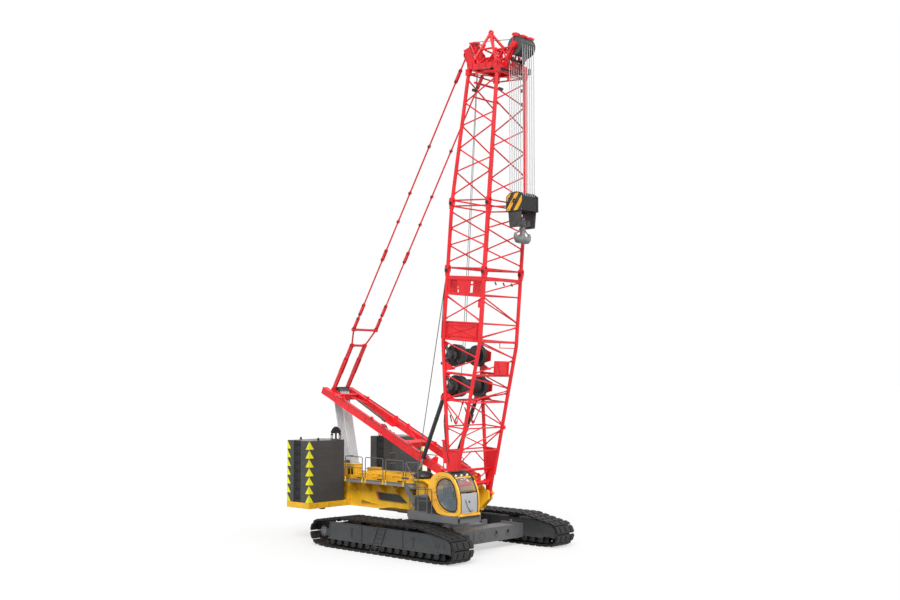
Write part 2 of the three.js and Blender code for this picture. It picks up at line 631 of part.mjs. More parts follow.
// ---------- cab ----------
// Side view of the cab: rounded behind, raked windscreen in front, cut away under the rear.
function cabOutline(inset) {
  const i = inset;
  return [
    [CAB_REAR_X + 620 + i * 0.3, CAB_BOTTOM + i], [CAB_FRONT_X - 120 - i, CAB_BOTTOM + i],
    [CAB_FRONT_X - i, CAB_BOTTOM + 110 + i * 0.4], [CAB_FRONT_X - i, CAB_BOTTOM + 820],
    [CAB_FRONT_X - 110 - i, CAB_BOTTOM + 1180], [CAB_FRONT_X - 340 - i, CAB_BOTTOM + 1560 - i * 0.3],
    [CAB_FRONT_X - 560 - i * 0.6, CAB_BOTTOM + 1730 - i * 0.8], [CAB_FRONT_X - 800, CAB_TOP - i],
    [CAB_REAR_X + 700, CAB_TOP - i], [CAB_REAR_X + 330 + i * 0.5, CAB_TOP - 110 - i * 0.8],
    [CAB_REAR_X + 90 + i * 0.8, CAB_TOP - 400 - i * 0.5], [CAB_REAR_X + i, CAB_TOP - 760],
    [CAB_REAR_X + 50 + i, CAB_TOP - 1080], [CAB_REAR_X + 360 + i * 0.8, CAB_BOTTOM + 260 + i * 0.5],
  ];
}

// The door opening in the outer side, and the door that fills it.
function doorOutline(grow) {
  const g = grow;
  const x0 = CAB_REAR_X + 430;
  const x1 = CAB_FRONT_X - 100;
  return [
    [x0 + 420 - g * 0.6, CAB_BOTTOM + 150 - g], [x1 - 60 + g * 0.6, CAB_BOTTOM + 150 - g],
    [x1 + g, CAB_BOTTOM + 250 - g * 0.4], [x1 + g, CAB_BOTTOM + 800],
    [x1 - 130 + g, CAB_BOTTOM + 1210 + g * 0.4], [x1 - 400 + g * 0.6, CAB_BOTTOM + 1520 + g * 0.8],
    [x1 - 640, CAB_BOTTOM + 1620 + g], [x0 + 440 - g * 0.3, CAB_BOTTOM + 1620 + g],
    [x0 + 150 - g * 0.8, CAB_BOTTOM + 1450 + g * 0.6], [x0 - g, CAB_BOTTOM + 1130],
    [x0 - g, CAB_BOTTOM + 640 - g * 0.4],
  ];
}

function windscreenOpening() {
  return plateYZ([[CAB_OUTER_Y + 110, CAB_BOTTOM + 160], [CAB_INNER_Y - 110, CAB_BOTTOM + 160],
    [CAB_INNER_Y - 110, CAB_BOTTOM + 1560], [CAB_OUTER_Y + 110, CAB_BOTTOM + 1560]],
  CAB_FRONT_X - 520, CAB_FRONT_X + 50);
}

const DOOR_GAP = 6;
const HINGE_PIN_RADIUS = 12;
const HINGE_HEIGHTS = [CAB_BOTTOM + 700, CAB_BOTTOM + 1040];
const DOOR_HINGE_X = CAB_REAR_X + 430;
const DOOR_HINGE_Y = CAB_OUTER_Y - 22;

// Half of a hinge seen from above: a round knuckle with a leaf reaching back to the cab or on to the door.
function knuckle(z0, z1, reach) {
  const barrel = bar([DOOR_HINGE_X, DOOR_HINGE_Y, z0], [DOOR_HINGE_X, DOOR_HINGE_Y, z1], 21, 16);
  const x0 = Math.min(DOOR_HINGE_X, DOOR_HINGE_X + reach);
  const x1 = Math.max(DOOR_HINGE_X, DOOR_HINGE_X + reach);
  return barrel.add(box(x0, x1, DOOR_HINGE_Y - 8, CAB_OUTER_Y + 8, z0, z1));
}

function cabShell() {
  const outer = plateXZ(cabOutline(0), CAB_OUTER_Y, CAB_INNER_Y);
  const room = plateXZ(cabOutline(CAB_SHEET), CAB_OUTER_Y + CAB_SHEET, CAB_INNER_Y - CAB_SHEET);
  const door = plateXZ(doorOutline(DOOR_GAP), CAB_OUTER_Y - 10, CAB_OUTER_Y + CAB_SHEET + 10);
  const sideWindow = plateXZ(doorOutline(-120), CAB_INNER_Y - CAB_SHEET - 10, CAB_INNER_Y + 10);
  const rearWindow = box(CAB_REAR_X - 50, CAB_REAR_X + 260, CAB_OUTER_Y + 220, CAB_INNER_Y - 220,
    CAB_TOP - 760, CAB_TOP - 380);
  const roofWindow = box(CAB_REAR_X + 800, CAB_REAR_X + 1150, CAB_OUTER_Y + 260, CAB_INNER_Y - 260,
    CAB_TOP - 100, CAB_TOP + 50);
  const shell = outer.subtract(room).subtract(door).subtract(sideWindow).subtract(windscreenOpening())
    .subtract(rearWindow).subtract(roofWindow);
  const hinges = HINGE_HEIGHTS.flatMap((z) => [
    knuckle(z - 90, z - 40, -90),
    knuckle(z + 40, z + 90, -90),
    bar([DOOR_HINGE_X, DOOR_HINGE_Y, z - 60], [DOOR_HINGE_X, DOOR_HINGE_Y, z + 60], HINGE_PIN_RADIUS, 16),
  ]);
  return join([shell, ...hinges]);
}

function cabDoor() {
  const leaf = plateXZ(doorOutline(0), CAB_OUTER_Y, CAB_OUTER_Y + CAB_SHEET);
  const light = plateXZ(doorOutline(-70), CAB_OUTER_Y - 10, CAB_OUTER_Y + CAB_SHEET + 10);
  const knuckles = HINGE_HEIGHTS.map((z) => knuckle(z - 39, z + 39, 90));
  const pinBore = bar([DOOR_HINGE_X, DOOR_HINGE_Y, CAB_BOTTOM], [DOOR_HINGE_X, DOOR_HINGE_Y, CAB_TOP],
    HINGE_PIN_RADIUS + 0.4, 16);
  return join([leaf.subtract(light), ...knuckles]).subtract(pinBore);
}

function doorGlass() {
  return plateXZ(doorOutline(-70 - GLASS_GAP), CAB_OUTER_Y + 15, CAB_OUTER_Y + 15 + GLASS_THICKNESS);
}

function windscreen() {
  const outer = plateXZ(cabOutline(15), CAB_OUTER_Y + 110 + GLASS_GAP, CAB_INNER_Y - 110 - GLASS_GAP);
  const inner = plateXZ(cabOutline(15 + GLASS_THICKNESS), CAB_OUTER_Y, CAB_INNER_Y);
  const band = box(CAB_FRONT_X - 520 + GLASS_GAP, CAB_FRONT_X + 50, CAB_OUTER_Y, CAB_INNER_Y,
    CAB_BOTTOM + 160 + GLASS_GAP, CAB_BOTTOM + 1560 - GLASS_GAP);
  return outer.subtract(inner).intersect(band);
}

function sideGlass() {
  return plateXZ(doorOutline(-120 - GLASS_GAP), CAB_INNER_Y - 30, CAB_INNER_Y - 30 + GLASS_THICKNESS);
}

function seat() {
  const x = CAB_REAR_X + 800;
  const y = (CAB_OUTER_Y + CAB_INNER_Y) / 2;
  const floor = CAB_BOTTOM + CAB_SHEET + FIT;
  const foot = box(x - 150, x + 150, y - 150, y + 150, floor, floor + 330);
  const cushion = box(x - 230, x + 300, y - 240, y + 240, floor + 320, floor + 450);
  const back = plateXZ([[x - 230, floor + 400], [x - 110, floor + 400], [x - 220, floor + 1080],
    [x - 320, floor + 1060]], y - 220, y + 220);
  const arms = [-1, 1].map((s) => box(x - 200, x + 330, y + s * 290 - 45, y + s * 290 + 45, floor + 520, floor + 590));
  const boxes = [-1, 1].map((s) => box(x - 150, x + 150, y + s * 270 - 60, y + s * 270 + 60, floor + 330, floor + 530));
  return join([foot, cushion, back, ...arms, ...boxes]);
}

function consoleStand() {
  const floor = CAB_BOTTOM + CAB_SHEET + FIT;
  const x = CAB_FRONT_X - 330;
  const y = (CAB_OUTER_Y + CAB_INNER_Y) / 2;
  const post = box(x - 40, x + 40, y + 300, y + 380, floor, floor + 700);
  const screen = box(x - 30, x + 30, y + 180, y + 460, floor + 690, floor + 900);
  return post.add(screen);
}

add("cab_shell", cabShell(), paint.yellow);
add("cab_door", cabDoor(), paint.yellow);
add("cab_door_glass", doorGlass(), paint.glass);
add("cab_windscreen", windscreen(), paint.glass);
add("cab_inner_side_glass", sideGlass(), paint.glass);
add("cab_seat", seat(), paint.black);
add("cab_display_stand", consoleStand(), paint.black);

// ---------- boom ----------
const HOIST_WINCHES = [{ name: "upper", u: 6250, v: -760 }, { name: "lower", u: 4870, v: -560 }];
const WINCH_HALF_LENGTH = 820;
const WINCH_SHAFT_RADIUS = 75;

// Built upright with X ahead of its middle line and Z along it, then leaned to its place.
function lean(shape) {
  return shape.rotate([0, BOOM_TILT, 0]).translate([BOOM_FOOT_X, 0, BOOM_FOOT_Z]);
}

function corner(station, front, left) {
  return [front * station.depth, left * station.width, station.u];
}

// The two chords of each face, first the one where the face's zigzag starts.
const FACES = [
  { name: "right", chords: [[-1, -1], [1, -1]] },
  { name: "rear", chords: [[-1, 1], [-1, -1]] },
  { name: "left", chords: [[1, 1], [-1, 1]] },
  { name: "front", chords: [[1, -1], [1, 1]] },
];

// Single diagonals from chord to chord through the stations, turn by turn.
function zigzag(stations, faces = FACES) {
  const pieces = [];
  for (const face of faces) {
    for (let i = 1; i < stations.length; i += 1) {
      const from = corner(stations[i - 1], ...face.chords[(i - 1) % 2]);
      const to = corner(stations[i], ...face.chords[i % 2]);
      pieces.push(bar(from, to, BRACE_RADIUS, 4));
    }
  }
  return pieces;
}

function ties(stations, faces = FACES) {
  const pieces = [];
  for (const station of stations) {
    for (const { chords: [a, b] } of faces) {
      pieces.push(bar(corner(station, ...a), corner(station, ...b), BRACE_RADIUS, 4));
    }
  }
  return pieces;
}

function stationAt(u) {
  const taperEnd = FOOT_TAPER_LENGTH;
  const topStart = FOOT_LENGTH + INSERT_LENGTH;
  if (u < taperEnd) {
    const t = u / taperEnd;
    return { u, depth: 110 + (BOOM_HALF_DEPTH - 110) * t, width: BOOM_HALF_WIDTH };
  }
  if (u <= topStart) return { u, depth: BOOM_HALF_DEPTH, width: BOOM_HALF_WIDTH };
  const t = (u - topStart) / TOP_LENGTH;
  return {
    u,
    depth: BOOM_HALF_DEPTH + (TOP_HALF_DEPTH - BOOM_HALF_DEPTH) * t,
    width: BOOM_HALF_WIDTH + (TOP_HALF_WIDTH - BOOM_HALF_WIDTH) * t,
  };
}

function chords(u0, u1) {
  const low = stationAt(u0);
  const high = stationAt(u1);
  const pieces = [];
  for (const front of [-1, 1]) {
    for (const left of [-1, 1]) {
      pieces.push(bar(corner(low, front, left), corner(high, front, left), CHORD_RADIUS, 6));
    }
  }
  return pieces;
}

// Square shoes at the chord ends, where one section is pinned to the next.
function endShoes(u, direction) {
  const station = stationAt(u);
  const r = CHORD_RADIUS + 25;
  const face = u + (direction * FIT) / 2;
  const back = u + direction * 200;
  const pieces = [];
  for (const front of [-1, 1]) {
    for (const left of [-1, 1]) {
      const [x, y] = corner(station, front, left);
      pieces.push(box(x - r, x + r, y - r, y + r, Math.min(face, back), Math.max(face, back)));
    }
  }
  return pieces;
}

function evenStations(u0, u1, count) {
  return Array.from({ length: count + 1 }, (_, i) => stationAt(u0 + ((u1 - u0) * i) / count));
}

const SOCKET = 130; // end ties stand this far inside a section's end
const END_BAY = 380; // and the zigzags start this far inside
const FOOT_TIES = [2100, 3050, 4300, 5500, 6850, 7650, 8950, 9750]; // stations with ties on all four faces
const FOOT_UPPER_BAY = [7650, 8950];
const FOOT_WINCH_BAYS = [4300, 5500, 6850]; // open at the rear, where the drums stand
const FOOT_LOWER_BAYS = [2100, 3050, 4300];
const FOOT_PANEL = [6850, 7650]; // plated on the right side
const FOOT_CHORD_START = 480; // below this only the leg plates pass between girder and fork
const FOOT_PLATE_LOW = 900;
const FOOT_PLATE_HIGH = 2100;

function footSection() {
  const pieces = [...chords(FOOT_CHORD_START, FOOT_TAPER_LENGTH + 20),
    ...chords(FOOT_TAPER_LENGTH - 20, FOOT_LENGTH - 20)];
  pieces.push(...endShoes(FOOT_LENGTH, -1));
  const closed = FACES.filter(({ name }) => name !== "rear");
  pieces.push(...ties(FOOT_TIES.map(stationAt)));
  pieces.push(...zigzag(FOOT_UPPER_BAY.map(stationAt)));
  pieces.push(...zigzag(FOOT_WINCH_BAYS.map(stationAt), closed));
  pieces.push(...zigzag(FOOT_LOWER_BAYS.map(stationAt)));
  for (const left of [-1, 1]) {
    const low = stationAt(FOOT_PLATE_LOW);
    const high = stationAt(FOOT_PLATE_HIGH);
    const y = left * BOOM_HALF_WIDTH;
    const leg = plateXZ([[-85, -60], [85, -60], [125, 60], [low.depth, FOOT_PLATE_LOW],
      [high.depth, FOOT_PLATE_HIGH], [-high.depth, FOOT_PLATE_HIGH], [-low.depth, FOOT_PLATE_LOW], [-125, 60]],
    y - EYE_HALF_WIDTH, y + EYE_HALF_WIDTH);
    pieces.push(leg);
    pieces.push(crossBar(0, 0, y - EYE_HALF_WIDTH, y + EYE_HALF_WIDTH, 165));
    pieces.push(box(-60, 60, left > 0 ? y - 200 : y, left > 0 ? y : y + 200, 420, 640));
  }
  pieces.push(bar([0, -BOOM_HALF_WIDTH, 530], [0, BOOM_HALF_WIDTH, 530], 95, 12));
  pieces.push(bar([0, -BOOM_HALF_WIDTH, 1150], [0, BOOM_HALF_WIDTH, 1150], 60, 8));
  for (const side of [-1, 1]) {
    pieces.push(stopBracket(side));
    pieces.push(...winchCheeks(side));
  }
  pieces.push(box(-BOOM_HALF_DEPTH, BOOM_HALF_DEPTH, -BOOM_HALF_WIDTH - 15, -BOOM_HALF_WIDTH + 15, ...FOOT_PANEL));
  const eyes = crossBar(0, 0, -2000, 2000, FOOT_PIN_RADIUS + PIN_CLEARANCE, PIN_SIDES);
  return lean(join(pieces).subtract(eyes));
}

// Boom-axis coordinates of a point given in the crane's side view.
function boomCoordinates(x, z) {
  const angle = (BOOM_TILT * Math.PI) / 180;
  const dx = x - BOOM_FOOT_X;
  const dz = z - BOOM_FOOT_Z;
  return [dx * Math.cos(angle) - dz * Math.sin(angle), dx * Math.sin(angle) + dz * Math.cos(angle)];
}

const STOP_PIN_RADIUS = 45;

// Two cheeks on the rear chord holding the backstop's upper pin.
function stopBracket(side) {
  const [v, u] = boomCoordinates(STOP_TOP_X, STOP_TOP_Z);
  const chord = stationAt(u);
  const pieces = [];
  const half = STOP_BARREL_RADIUS * 0.6;
  for (const edge of [-1, 1]) {
    const a = STOP_Y + edge * (half + SIDE_CLEARANCE);
    const b = STOP_Y + edge * (half + SIDE_CLEARANCE + 40);
    const shape = [[v - 90, u - 90], [v + 60, u - 90], [-chord.depth + 60, u + 80], [-chord.depth + 60, u + 420],
      [-chord.depth - 60, u + 380], [v - 90, u + 90]];
    pieces.push(plateXZ(shape, Math.min(a, b), Math.max(a, b)));
  }
  const back = -chord.depth - 70;
  pieces.push(box(back, -chord.depth + 60, STOP_Y - half - 46, BOOM_HALF_WIDTH, u + 150, u + 380));
  pieces.push(crossBar(v, u, STOP_Y - half - 20, STOP_Y + half + 20, STOP_PIN_RADIUS, PIN_SIDES));
  const all = join(pieces);
  return side > 0 ? all : mirrorY(all);
}


// Side plates between the front and rear chords, with the drum's stub shaft.
function winchCheeks(side) {
  const pieces = [];
  for (const { u, v } of HOIST_WINCHES) {
    const chord = stationAt(u);
    const y = BOOM_HALF_WIDTH - 40;
    const cheek = plateXZ([[-chord.depth, u - 420], [v + 420, u - 200], [v + 420, u + 200], [-chord.depth, u + 420]],
      y - 60, y);
    const shaft = crossBar(v, u, WINCH_HALF_LENGTH - 60, y - 10, WINCH_SHAFT_RADIUS, PIN_SIDES);
    const pair = cheek.add(shaft);
    pieces.push(side > 0 ? pair : mirrorY(pair));
  }
  return pieces;
}

function insertSection() {
  const u0 = FOOT_LENGTH;
  const u1 = FOOT_LENGTH + INSERT_LENGTH;
  const pieces = [...chords(u0 + 20, u1 - 20), ...endShoes(u0, 1), ...endShoes(u1, -1)];
  pieces.push(...zigzag(evenStations(u0 + END_BAY, u1 - END_BAY, 3)));
  pieces.push(...ties([u0 + SOCKET, u1 - SOCKET].map(stationAt)));
  return lean(join(pieces));
}

const TOP_START = FOOT_LENGTH + INSERT_LENGTH;
const TOP_END = BOOM_LENGTH;

function topSection() {
  const pieces = [...chords(TOP_START + 20, TOP_END - 20), ...endShoes(TOP_START, 1)];
  pieces.push(...zigzag(evenStations(TOP_START + END_BAY, TOP_END - END_BAY, 5)));
  pieces.push(...ties([TOP_START + SOCKET, TOP_END - SOCKET].map(stationAt)));
  pieces.push(...endShoes(TOP_END, -1));
  return lean(join(pieces));
}

const HEAD_CHEEK_Y = (SHEAVE_COUNT * SHEAVE_PITCH) / 2 + SIDE_CLEARANCE;
const HEAD_SHAFT_RADIUS = 75;
const REAR_SHEAVE_RADIUS = 300;
const REAR_SHEAVE_HALF = 60;

function boomHead() {
  const base = stationAt(TOP_END);
  const pieces = [...endShoes(TOP_END, 1)];
  const z0 = TOP_END + 60;
  const frame = box(-base.depth - 60, base.depth + 60, -base.width - 60, base.width + 60, z0, z0 + 220);
  const open = box(-base.depth + 120, base.depth - 120, -base.width + 120, base.width - 120, z0 - 10, z0 + 230);
  pieces.push(frame.subtract(open));
  for (const side of [-1, 1]) {
    pieces.push(sheaveCheek(side, z0), pendantCheek(side, z0), rearCheek(side, z0));
    const foot = [base.depth - 60, side * (base.width - 30), z0 + 150];
    pieces.push(bar(foot, [HEAD_EYE_V, side * 60, HEAD_EYE_U - 60], 65, 8));
    pieces.push(bar([-base.depth + 20, side * (base.width - 30), z0 + 150], [HEAD_EYE_V, side * 60, HEAD_EYE_U - 60], 65, 8));
  }
  pieces.push(crossBar(HEAD_EYE_V, HEAD_EYE_U, -40, 40, 120, 16));
  pieces.push(box(HEAD_EYE_V - 90, HEAD_EYE_V + 90, -110, 110, HEAD_EYE_U - 220, HEAD_EYE_U - 30));
  pieces.push(crossBar(SHEAVE_SHAFT_V, SHEAVE_SHAFT_U, -HEAD_CHEEK_Y - 100, HEAD_CHEEK_Y + 100, HEAD_SHAFT_RADIUS, PIN_SIDES));
  pieces.push(crossBar(REAR_SHEAVE_V, REAR_SHEAVE_U, -170, 170, 50, PIN_SIDES));
  const eye = crossBar(HEAD_EYE_V, HEAD_EYE_U, -60, 60, 60, 16);
  return lean(join(pieces).subtract(eye));
}

function sheaveCheek(side, z0) {
  const y0 = HEAD_CHEEK_Y;
  const shape = [[-300, z0 + 20], [790, z0 + 20], [SHEAVE_SHAFT_V + 110, SHEAVE_SHAFT_U - 130],
    [SHEAVE_SHAFT_V + 110, SHEAVE_SHAFT_U + 110], [SHEAVE_SHAFT_V - 120, SHEAVE_SHAFT_U + 150],
    [350, SHEAVE_SHAFT_U - 60], [-300, z0 + 420]];
  const cheek = plateXZ(shape, y0, y0 + 70).subtract(
    plateXZ([[300, z0 + 330], [700, z0 + 400], [700, z0 + 650], [400, z0 + 600]], y0 - 10, y0 + 80));
  return side > 0 ? cheek : mirrorY(cheek);
}

function pendantCheek(side, z0) {
  const pieces = [];
  for (const edge of [-1, 1]) {
    const a = PENDANT_HIGH_Y + edge * (60 + SIDE_CLEARANCE);
    const b = PENDANT_HIGH_Y + edge * (60 + SIDE_CLEARANCE + 50);
    const shape = [[-900, z0 + 40], [-600, z0 + 40], [-700, z0 + 500], [PENDANT_PIN_V + 120, PENDANT_PIN_U + 110],
      [PENDANT_PIN_V - 60, PENDANT_PIN_U + 100], [PENDANT_PIN_V - 110, PENDANT_PIN_U - 60]];
    pieces.push(plateXZ(shape, Math.min(a, b), Math.max(a, b)));
  }
  pieces.push(crossBar(PENDANT_PIN_V, PENDANT_PIN_U, PENDANT_HIGH_Y - 90, PENDANT_HIGH_Y + 90, STOP_PIN_RADIUS,
    PIN_SIDES));
  const all = join(pieces);
  return side > 0 ? all : mirrorY(all);
}

function rearCheek(side, z0) {
  const shape = [[-880, z0 + 40], [-500, z0 + 40], [-900, z0 + 900], [REAR_SHEAVE_V + 100, REAR_SHEAVE_U + 180],
    [REAR_SHEAVE_V - 100, REAR_SHEAVE_U + 150], [REAR_SHEAVE_V - 120, REAR_SHEAVE_U - 60], [-1050, z0 + 420]];
  const cheek = plateXZ(shape, REAR_SHEAVE_HALF + SIDE_CLEARANCE, REAR_SHEAVE_HALF + SIDE_CLEARANCE + 50);
  return side > 0 ? cheek : mirrorY(cheek);
}

add("boom_foot_section", footSection(), paint.red);
add("boom_insert_section", insertSection(), paint.red);
add("boom_top_section", topSection(), paint.red);
add("boom_head", boomHead(), paint.red);
add("head_sheaves", lean(sheavePack(SHEAVE_SHAFT_V, SHEAVE_SHAFT_U, SHEAVE_RADIUS, SHEAVE_COUNT, SHEAVE_PITCH,
  HEAD_SHAFT_RADIUS + PIN_CLEARANCE)), paint.black);
add("rear_guide_sheave", lean(sheavePack(REAR_SHEAVE_V, REAR_SHEAVE_U, REAR_SHEAVE_RADIUS, 1, 2 * REAR_SHEAVE_HALF,
  50 + PIN_CLEARANCE)), paint.black);
for (const { name, u, v } of HOIST_WINCHES) {
  add(`hoist_drum_${name}`, lean(winchDrum(2 * WINCH_HALF_LENGTH, 300, 500, WINCH_SHAFT_RADIUS + PIN_CLEARANCE)
    .translate([v, 0, u])), paint.black);
}

// ---------- mast ----------
function layMast(shape) {
  return shape.rotate([0, MAST_ANGLE - 90, 0]).translate([MAST_FOOT_X, 0, MAST_FOOT_Z]);
}

const MAST_EYE_HALF = MAST_LEG_WIDTH / 2 - 60;
const MAST_SHEAVE_L = MAST_LENGTH - 350;
const MAST_SHEAVE_RADIUS = 300;
const MAST_SHEAVE_COUNT = 6;
const MAST_SHEAVE_PITCH = 100;
const MAST_CHEEK_Y = (MAST_SHEAVE_COUNT * MAST_SHEAVE_PITCH) / 2 + SIDE_CLEARANCE;
const PENDANT_EYE_HALF = 50;
const PENDANT_EYE_RADIUS = 95;

function mastLeg(side) {
  const y = side * MAST_HALF_WIDTH;
  const beam = box(-MAST_LEG_DEPTH / 2, MAST_LEG_DEPTH / 2, y - MAST_LEG_WIDTH / 2, y + MAST_LEG_WIDTH / 2,
    600, MAST_LENGTH);
  const shank = plateXZ([[-90, 0], [90, 0], [MAST_LEG_DEPTH / 2, 620], [-MAST_LEG_DEPTH / 2, 620]],
    y - MAST_EYE_HALF, y + MAST_EYE_HALF);
  return join([beam, shank, crossBar(0, 0, y - MAST_EYE_HALF, y + MAST_EYE_HALF, 160)]);
}

// Two box legs, a cross beam low down and one under the head, cheeks for the sheaves and the pendants.
function mastFrame() {
  const inner = MAST_HALF_WIDTH - 40;
  const sill = MAST_SHEAVE_L - 560;
  const pieces = [mastLeg(-1), mastLeg(1)];
  pieces.push(box(-120, 120, -inner, inner, 3350, 3650));
  pieces.push(box(-140, 140, -inner, inner, sill, sill + 140));
  for (const side of [-1, 1]) {
    const cheek = plateXZ([[-140, sill + 60], [140, sill + 60], [110, MAST_SHEAVE_L + 160],
      [-110, MAST_SHEAVE_L + 160]], MAST_CHEEK_Y, MAST_CHEEK_Y + 36);
    const y0 = PENDANT_LOW_Y + PENDANT_EYE_HALF + SIDE_CLEARANCE;
    const outer = plateXZ([[-120, sill + 60], [140, sill + 60], [PENDANT_LOW_HEIGHT + 90, PENDANT_LOW_L - 90],
      [PENDANT_LOW_HEIGHT + 90, PENDANT_LOW_L + 80], [PENDANT_LOW_HEIGHT - 90, PENDANT_LOW_L + 90],
      [-120, PENDANT_LOW_L - 60]], y0, y0 + 40);
    const pair = cheek.add(outer);
    pieces.push(side > 0 ? pair : mirrorY(pair));
  }
  pieces.push(crossBar(0, MAST_SHEAVE_L, -MAST_CHEEK_Y - 30, MAST_CHEEK_Y + 30, 60, PIN_SIDES));
  const eyes = crossBar(0, 0, -2000, 2000, FOOT_PIN_RADIUS + PIN_CLEARANCE, PIN_SIDES);
  return layMast(join(pieces).subtract(eyes));
}

add("mast_frame", mastFrame(), paint.red);
add("mast_sheaves", layMast(sheavePack(0, MAST_SHEAVE_L, MAST_SHEAVE_RADIUS, MAST_SHEAVE_COUNT, MAST_SHEAVE_PITCH,
  60 + PIN_CLEARANCE)), paint.black);

// ---------- pendants ----------
function headPoint(v, y, u) {
  const angle = (BOOM_TILT * Math.PI) / 180;
  return [BOOM_FOOT_X + v * Math.cos(angle) + u * Math.sin(angle), y,
    BOOM_FOOT_Z - v * Math.sin(angle) + u * Math.cos(angle)];
}

function mastPoint(height, y, length) {
  const angle = (MAST_ANGLE * Math.PI) / 180;
  return [MAST_FOOT_X - length * Math.cos(angle) + height * Math.sin(angle), y,
    MAST_FOOT_Z + length * Math.sin(angle) + height * Math.cos(angle)];
}

function pendants() {
  const pieces = [];
  const between = (a, b, t) => a.map((value, i) => value + (b[i] - value) * t);
  const ends = [-1, 1].map((side) => [mastPoint(PENDANT_LOW_HEIGHT, side * PENDANT_LOW_Y, PENDANT_LOW_L),
    headPoint(PENDANT_PIN_V, side * PENDANT_HIGH_Y, PENDANT_PIN_U)]);
  const length = Math.hypot(...ends[0][1].map((value, i) => (i === 1 ? 0 : value - ends[0][0][i])));
  const bends = ends.map(([low, high]) => {
    const foot = between(low, high, SPREADER_LOW / length);
    const top = between(low, high, SPREADER_HIGH / length);
    return [[foot[0], low[1], foot[2]], [top[0], high[1], top[2]]];
  });
  for (const [i, [low, high]] of ends.entries()) {
    const path = [low, ...bends[i], high];
    for (let k = 0; k < 3; k++) pieces.push(bar(path[k], path[k + 1], PENDANT_RADIUS, 8));
    for (const [x, y, z] of bends[i]) pieces.push(crossBar(x, z, y - 70, y + 70, 80, 12));
    pieces.push(crossBar(high[0], high[2], high[1] - 58, high[1] + 58, PENDANT_EYE_RADIUS));
    pieces.push(crossBar(low[0], low[2], low[1] - PENDANT_EYE_HALF, low[1] + PENDANT_EYE_HALF, PENDANT_EYE_RADIUS));
  }
  for (const k of [0, 1]) pieces.push(bar(bends[0][k], bends[1][k], 52, 8));
  const [x, , z] = headPoint(PENDANT_PIN_V, 0, PENDANT_PIN_U);
  return join(pieces).subtract(crossBar(x, z, -2000, 2000, STOP_PIN_RADIUS + PIN_CLEARANCE, PIN_SIDES));
}

add("pendants", pendants(), paint.red);

// ---------- backstops ----------
function stopAxis(distance) {
  const dx = STOP_FOOT_X - STOP_TOP_X;
  const dz = STOP_FOOT_Z - STOP_TOP_Z;
  const length = Math.hypot(dx, dz);
  return [STOP_TOP_X + (dx * distance) / length, STOP_Y, STOP_TOP_Z + (dz * distance) / length];
}

const STOP_LENGTH = Math.hypot(STOP_FOOT_X - STOP_TOP_X, STOP_FOOT_Z - STOP_TOP_Z);

function stopBarrel() {
  const half = STOP_BARREL_RADIUS * 0.6;
  const tube = bar(stopAxis(150), stopAxis(STOP_BARREL_LENGTH), STOP_BARREL_RADIUS, 16);
  const eye = crossBar(STOP_TOP_X, STOP_TOP_Z, STOP_Y - half, STOP_Y + half, STOP_PIN_RADIUS + 45);
  const neck = bar(stopAxis(40), stopAxis(200), half - 4, 12);
  const bore = bar(stopAxis(STOP_BORE_TOP), stopAxis(STOP_BARREL_LENGTH + 10), STOP_ROD_RADIUS + PIN_CLEARANCE, 16);
  const pinBore = crossBar(STOP_TOP_X, STOP_TOP_Z, STOP_Y - 200, STOP_Y + 200, STOP_PIN_RADIUS + PIN_CLEARANCE,
    PIN_SIDES);
  return join([tube, eye, neck]).subtract(bore).subtract(pinBore);
}

function stopRod() {
  const rod = bar(stopAxis(STOP_ROD_TOP), stopAxis(STOP_LENGTH - 40), STOP_ROD_RADIUS, 16);
  const eye = crossBar(STOP_FOOT_X, STOP_FOOT_Z, STOP_Y - STOP_ROD_RADIUS, STOP_Y + STOP_ROD_RADIUS, 75, 16);
  return rod.add(eye);
}

addPair("backstop_barrel", stopBarrel(), paint.black);
addPair("backstop_rod", stopRod(), paint.chrome);

// ---------- hoist line and hook block ----------
const [SHAFT_X, , SHAFT_Z] = headPoint(SHEAVE_SHAFT_V, 0, SHEAVE_SHAFT_U);

// A stirrup on the shaft's ends with the hoist limit weight; it always hangs upright.
function limitStirrup() {
  const y0 = HEAD_CHEEK_Y + 70 + SIDE_CLEARANCE;
  const ringOuter = crossBar(SHAFT_X, SHAFT_Z, y0, y0 + 24, 110);
  const bore = crossBar(SHAFT_X, SHAFT_Z, y0 - 10, y0 + 40, HEAD_SHAFT_RADIUS + PIN_CLEARANCE, PIN_SIDES);
  const strap = box(SHAFT_X - 20, SHAFT_X + 20, y0, y0 + 24, SHAFT_Z - 900, SHAFT_Z - 90);
  const weight = bar([SHAFT_X, y0 + 12, SHAFT_Z - 1150], [SHAFT_X, y0 + 12, SHAFT_Z - 880], 60, 12);
  return join([ringOuter, strap, weight]).subtract(bore);
}

function hookBlock() {
  const pieces = [];
  const x = SHAFT_X;
  const z = BLOCK_SHEAVE_Z;
  const y0 = HEAD_CHEEK_Y;
  const shape = [[x - 470, z - 450], [x + 470, z - 450], [x + 470, z + 240], [x + 250, z + 400],
    [x - 250, z + 400], [x - 470, z + 300]];
  const low = [[x - 380, z - 430], [x + 380, z - 430], [x + 300, z - 1150], [x - 300, z - 1150]];
  for (const side of [-1, 1]) {
    const plate = plateXZ(shape, y0, y0 + 90).add(plateXZ(low, y0, y0 + 50));
    pieces.push(side > 0 ? plate : mirrorY(plate));
  }
  pieces.push(crossBar(x, z, -y0 - 20, y0 + 20, HEAD_SHAFT_RADIUS, PIN_SIDES));
  const beam = box(x - 190, x + 190, -y0 - 10, y0 + 10, z - 1080, z - 820);
  pieces.push(beam);
  const bore = bar([x, 0, z - 1200], [x, 0, z - 700], 75 + PIN_CLEARANCE, 24);
  return join(pieces).subtract(bore);
}

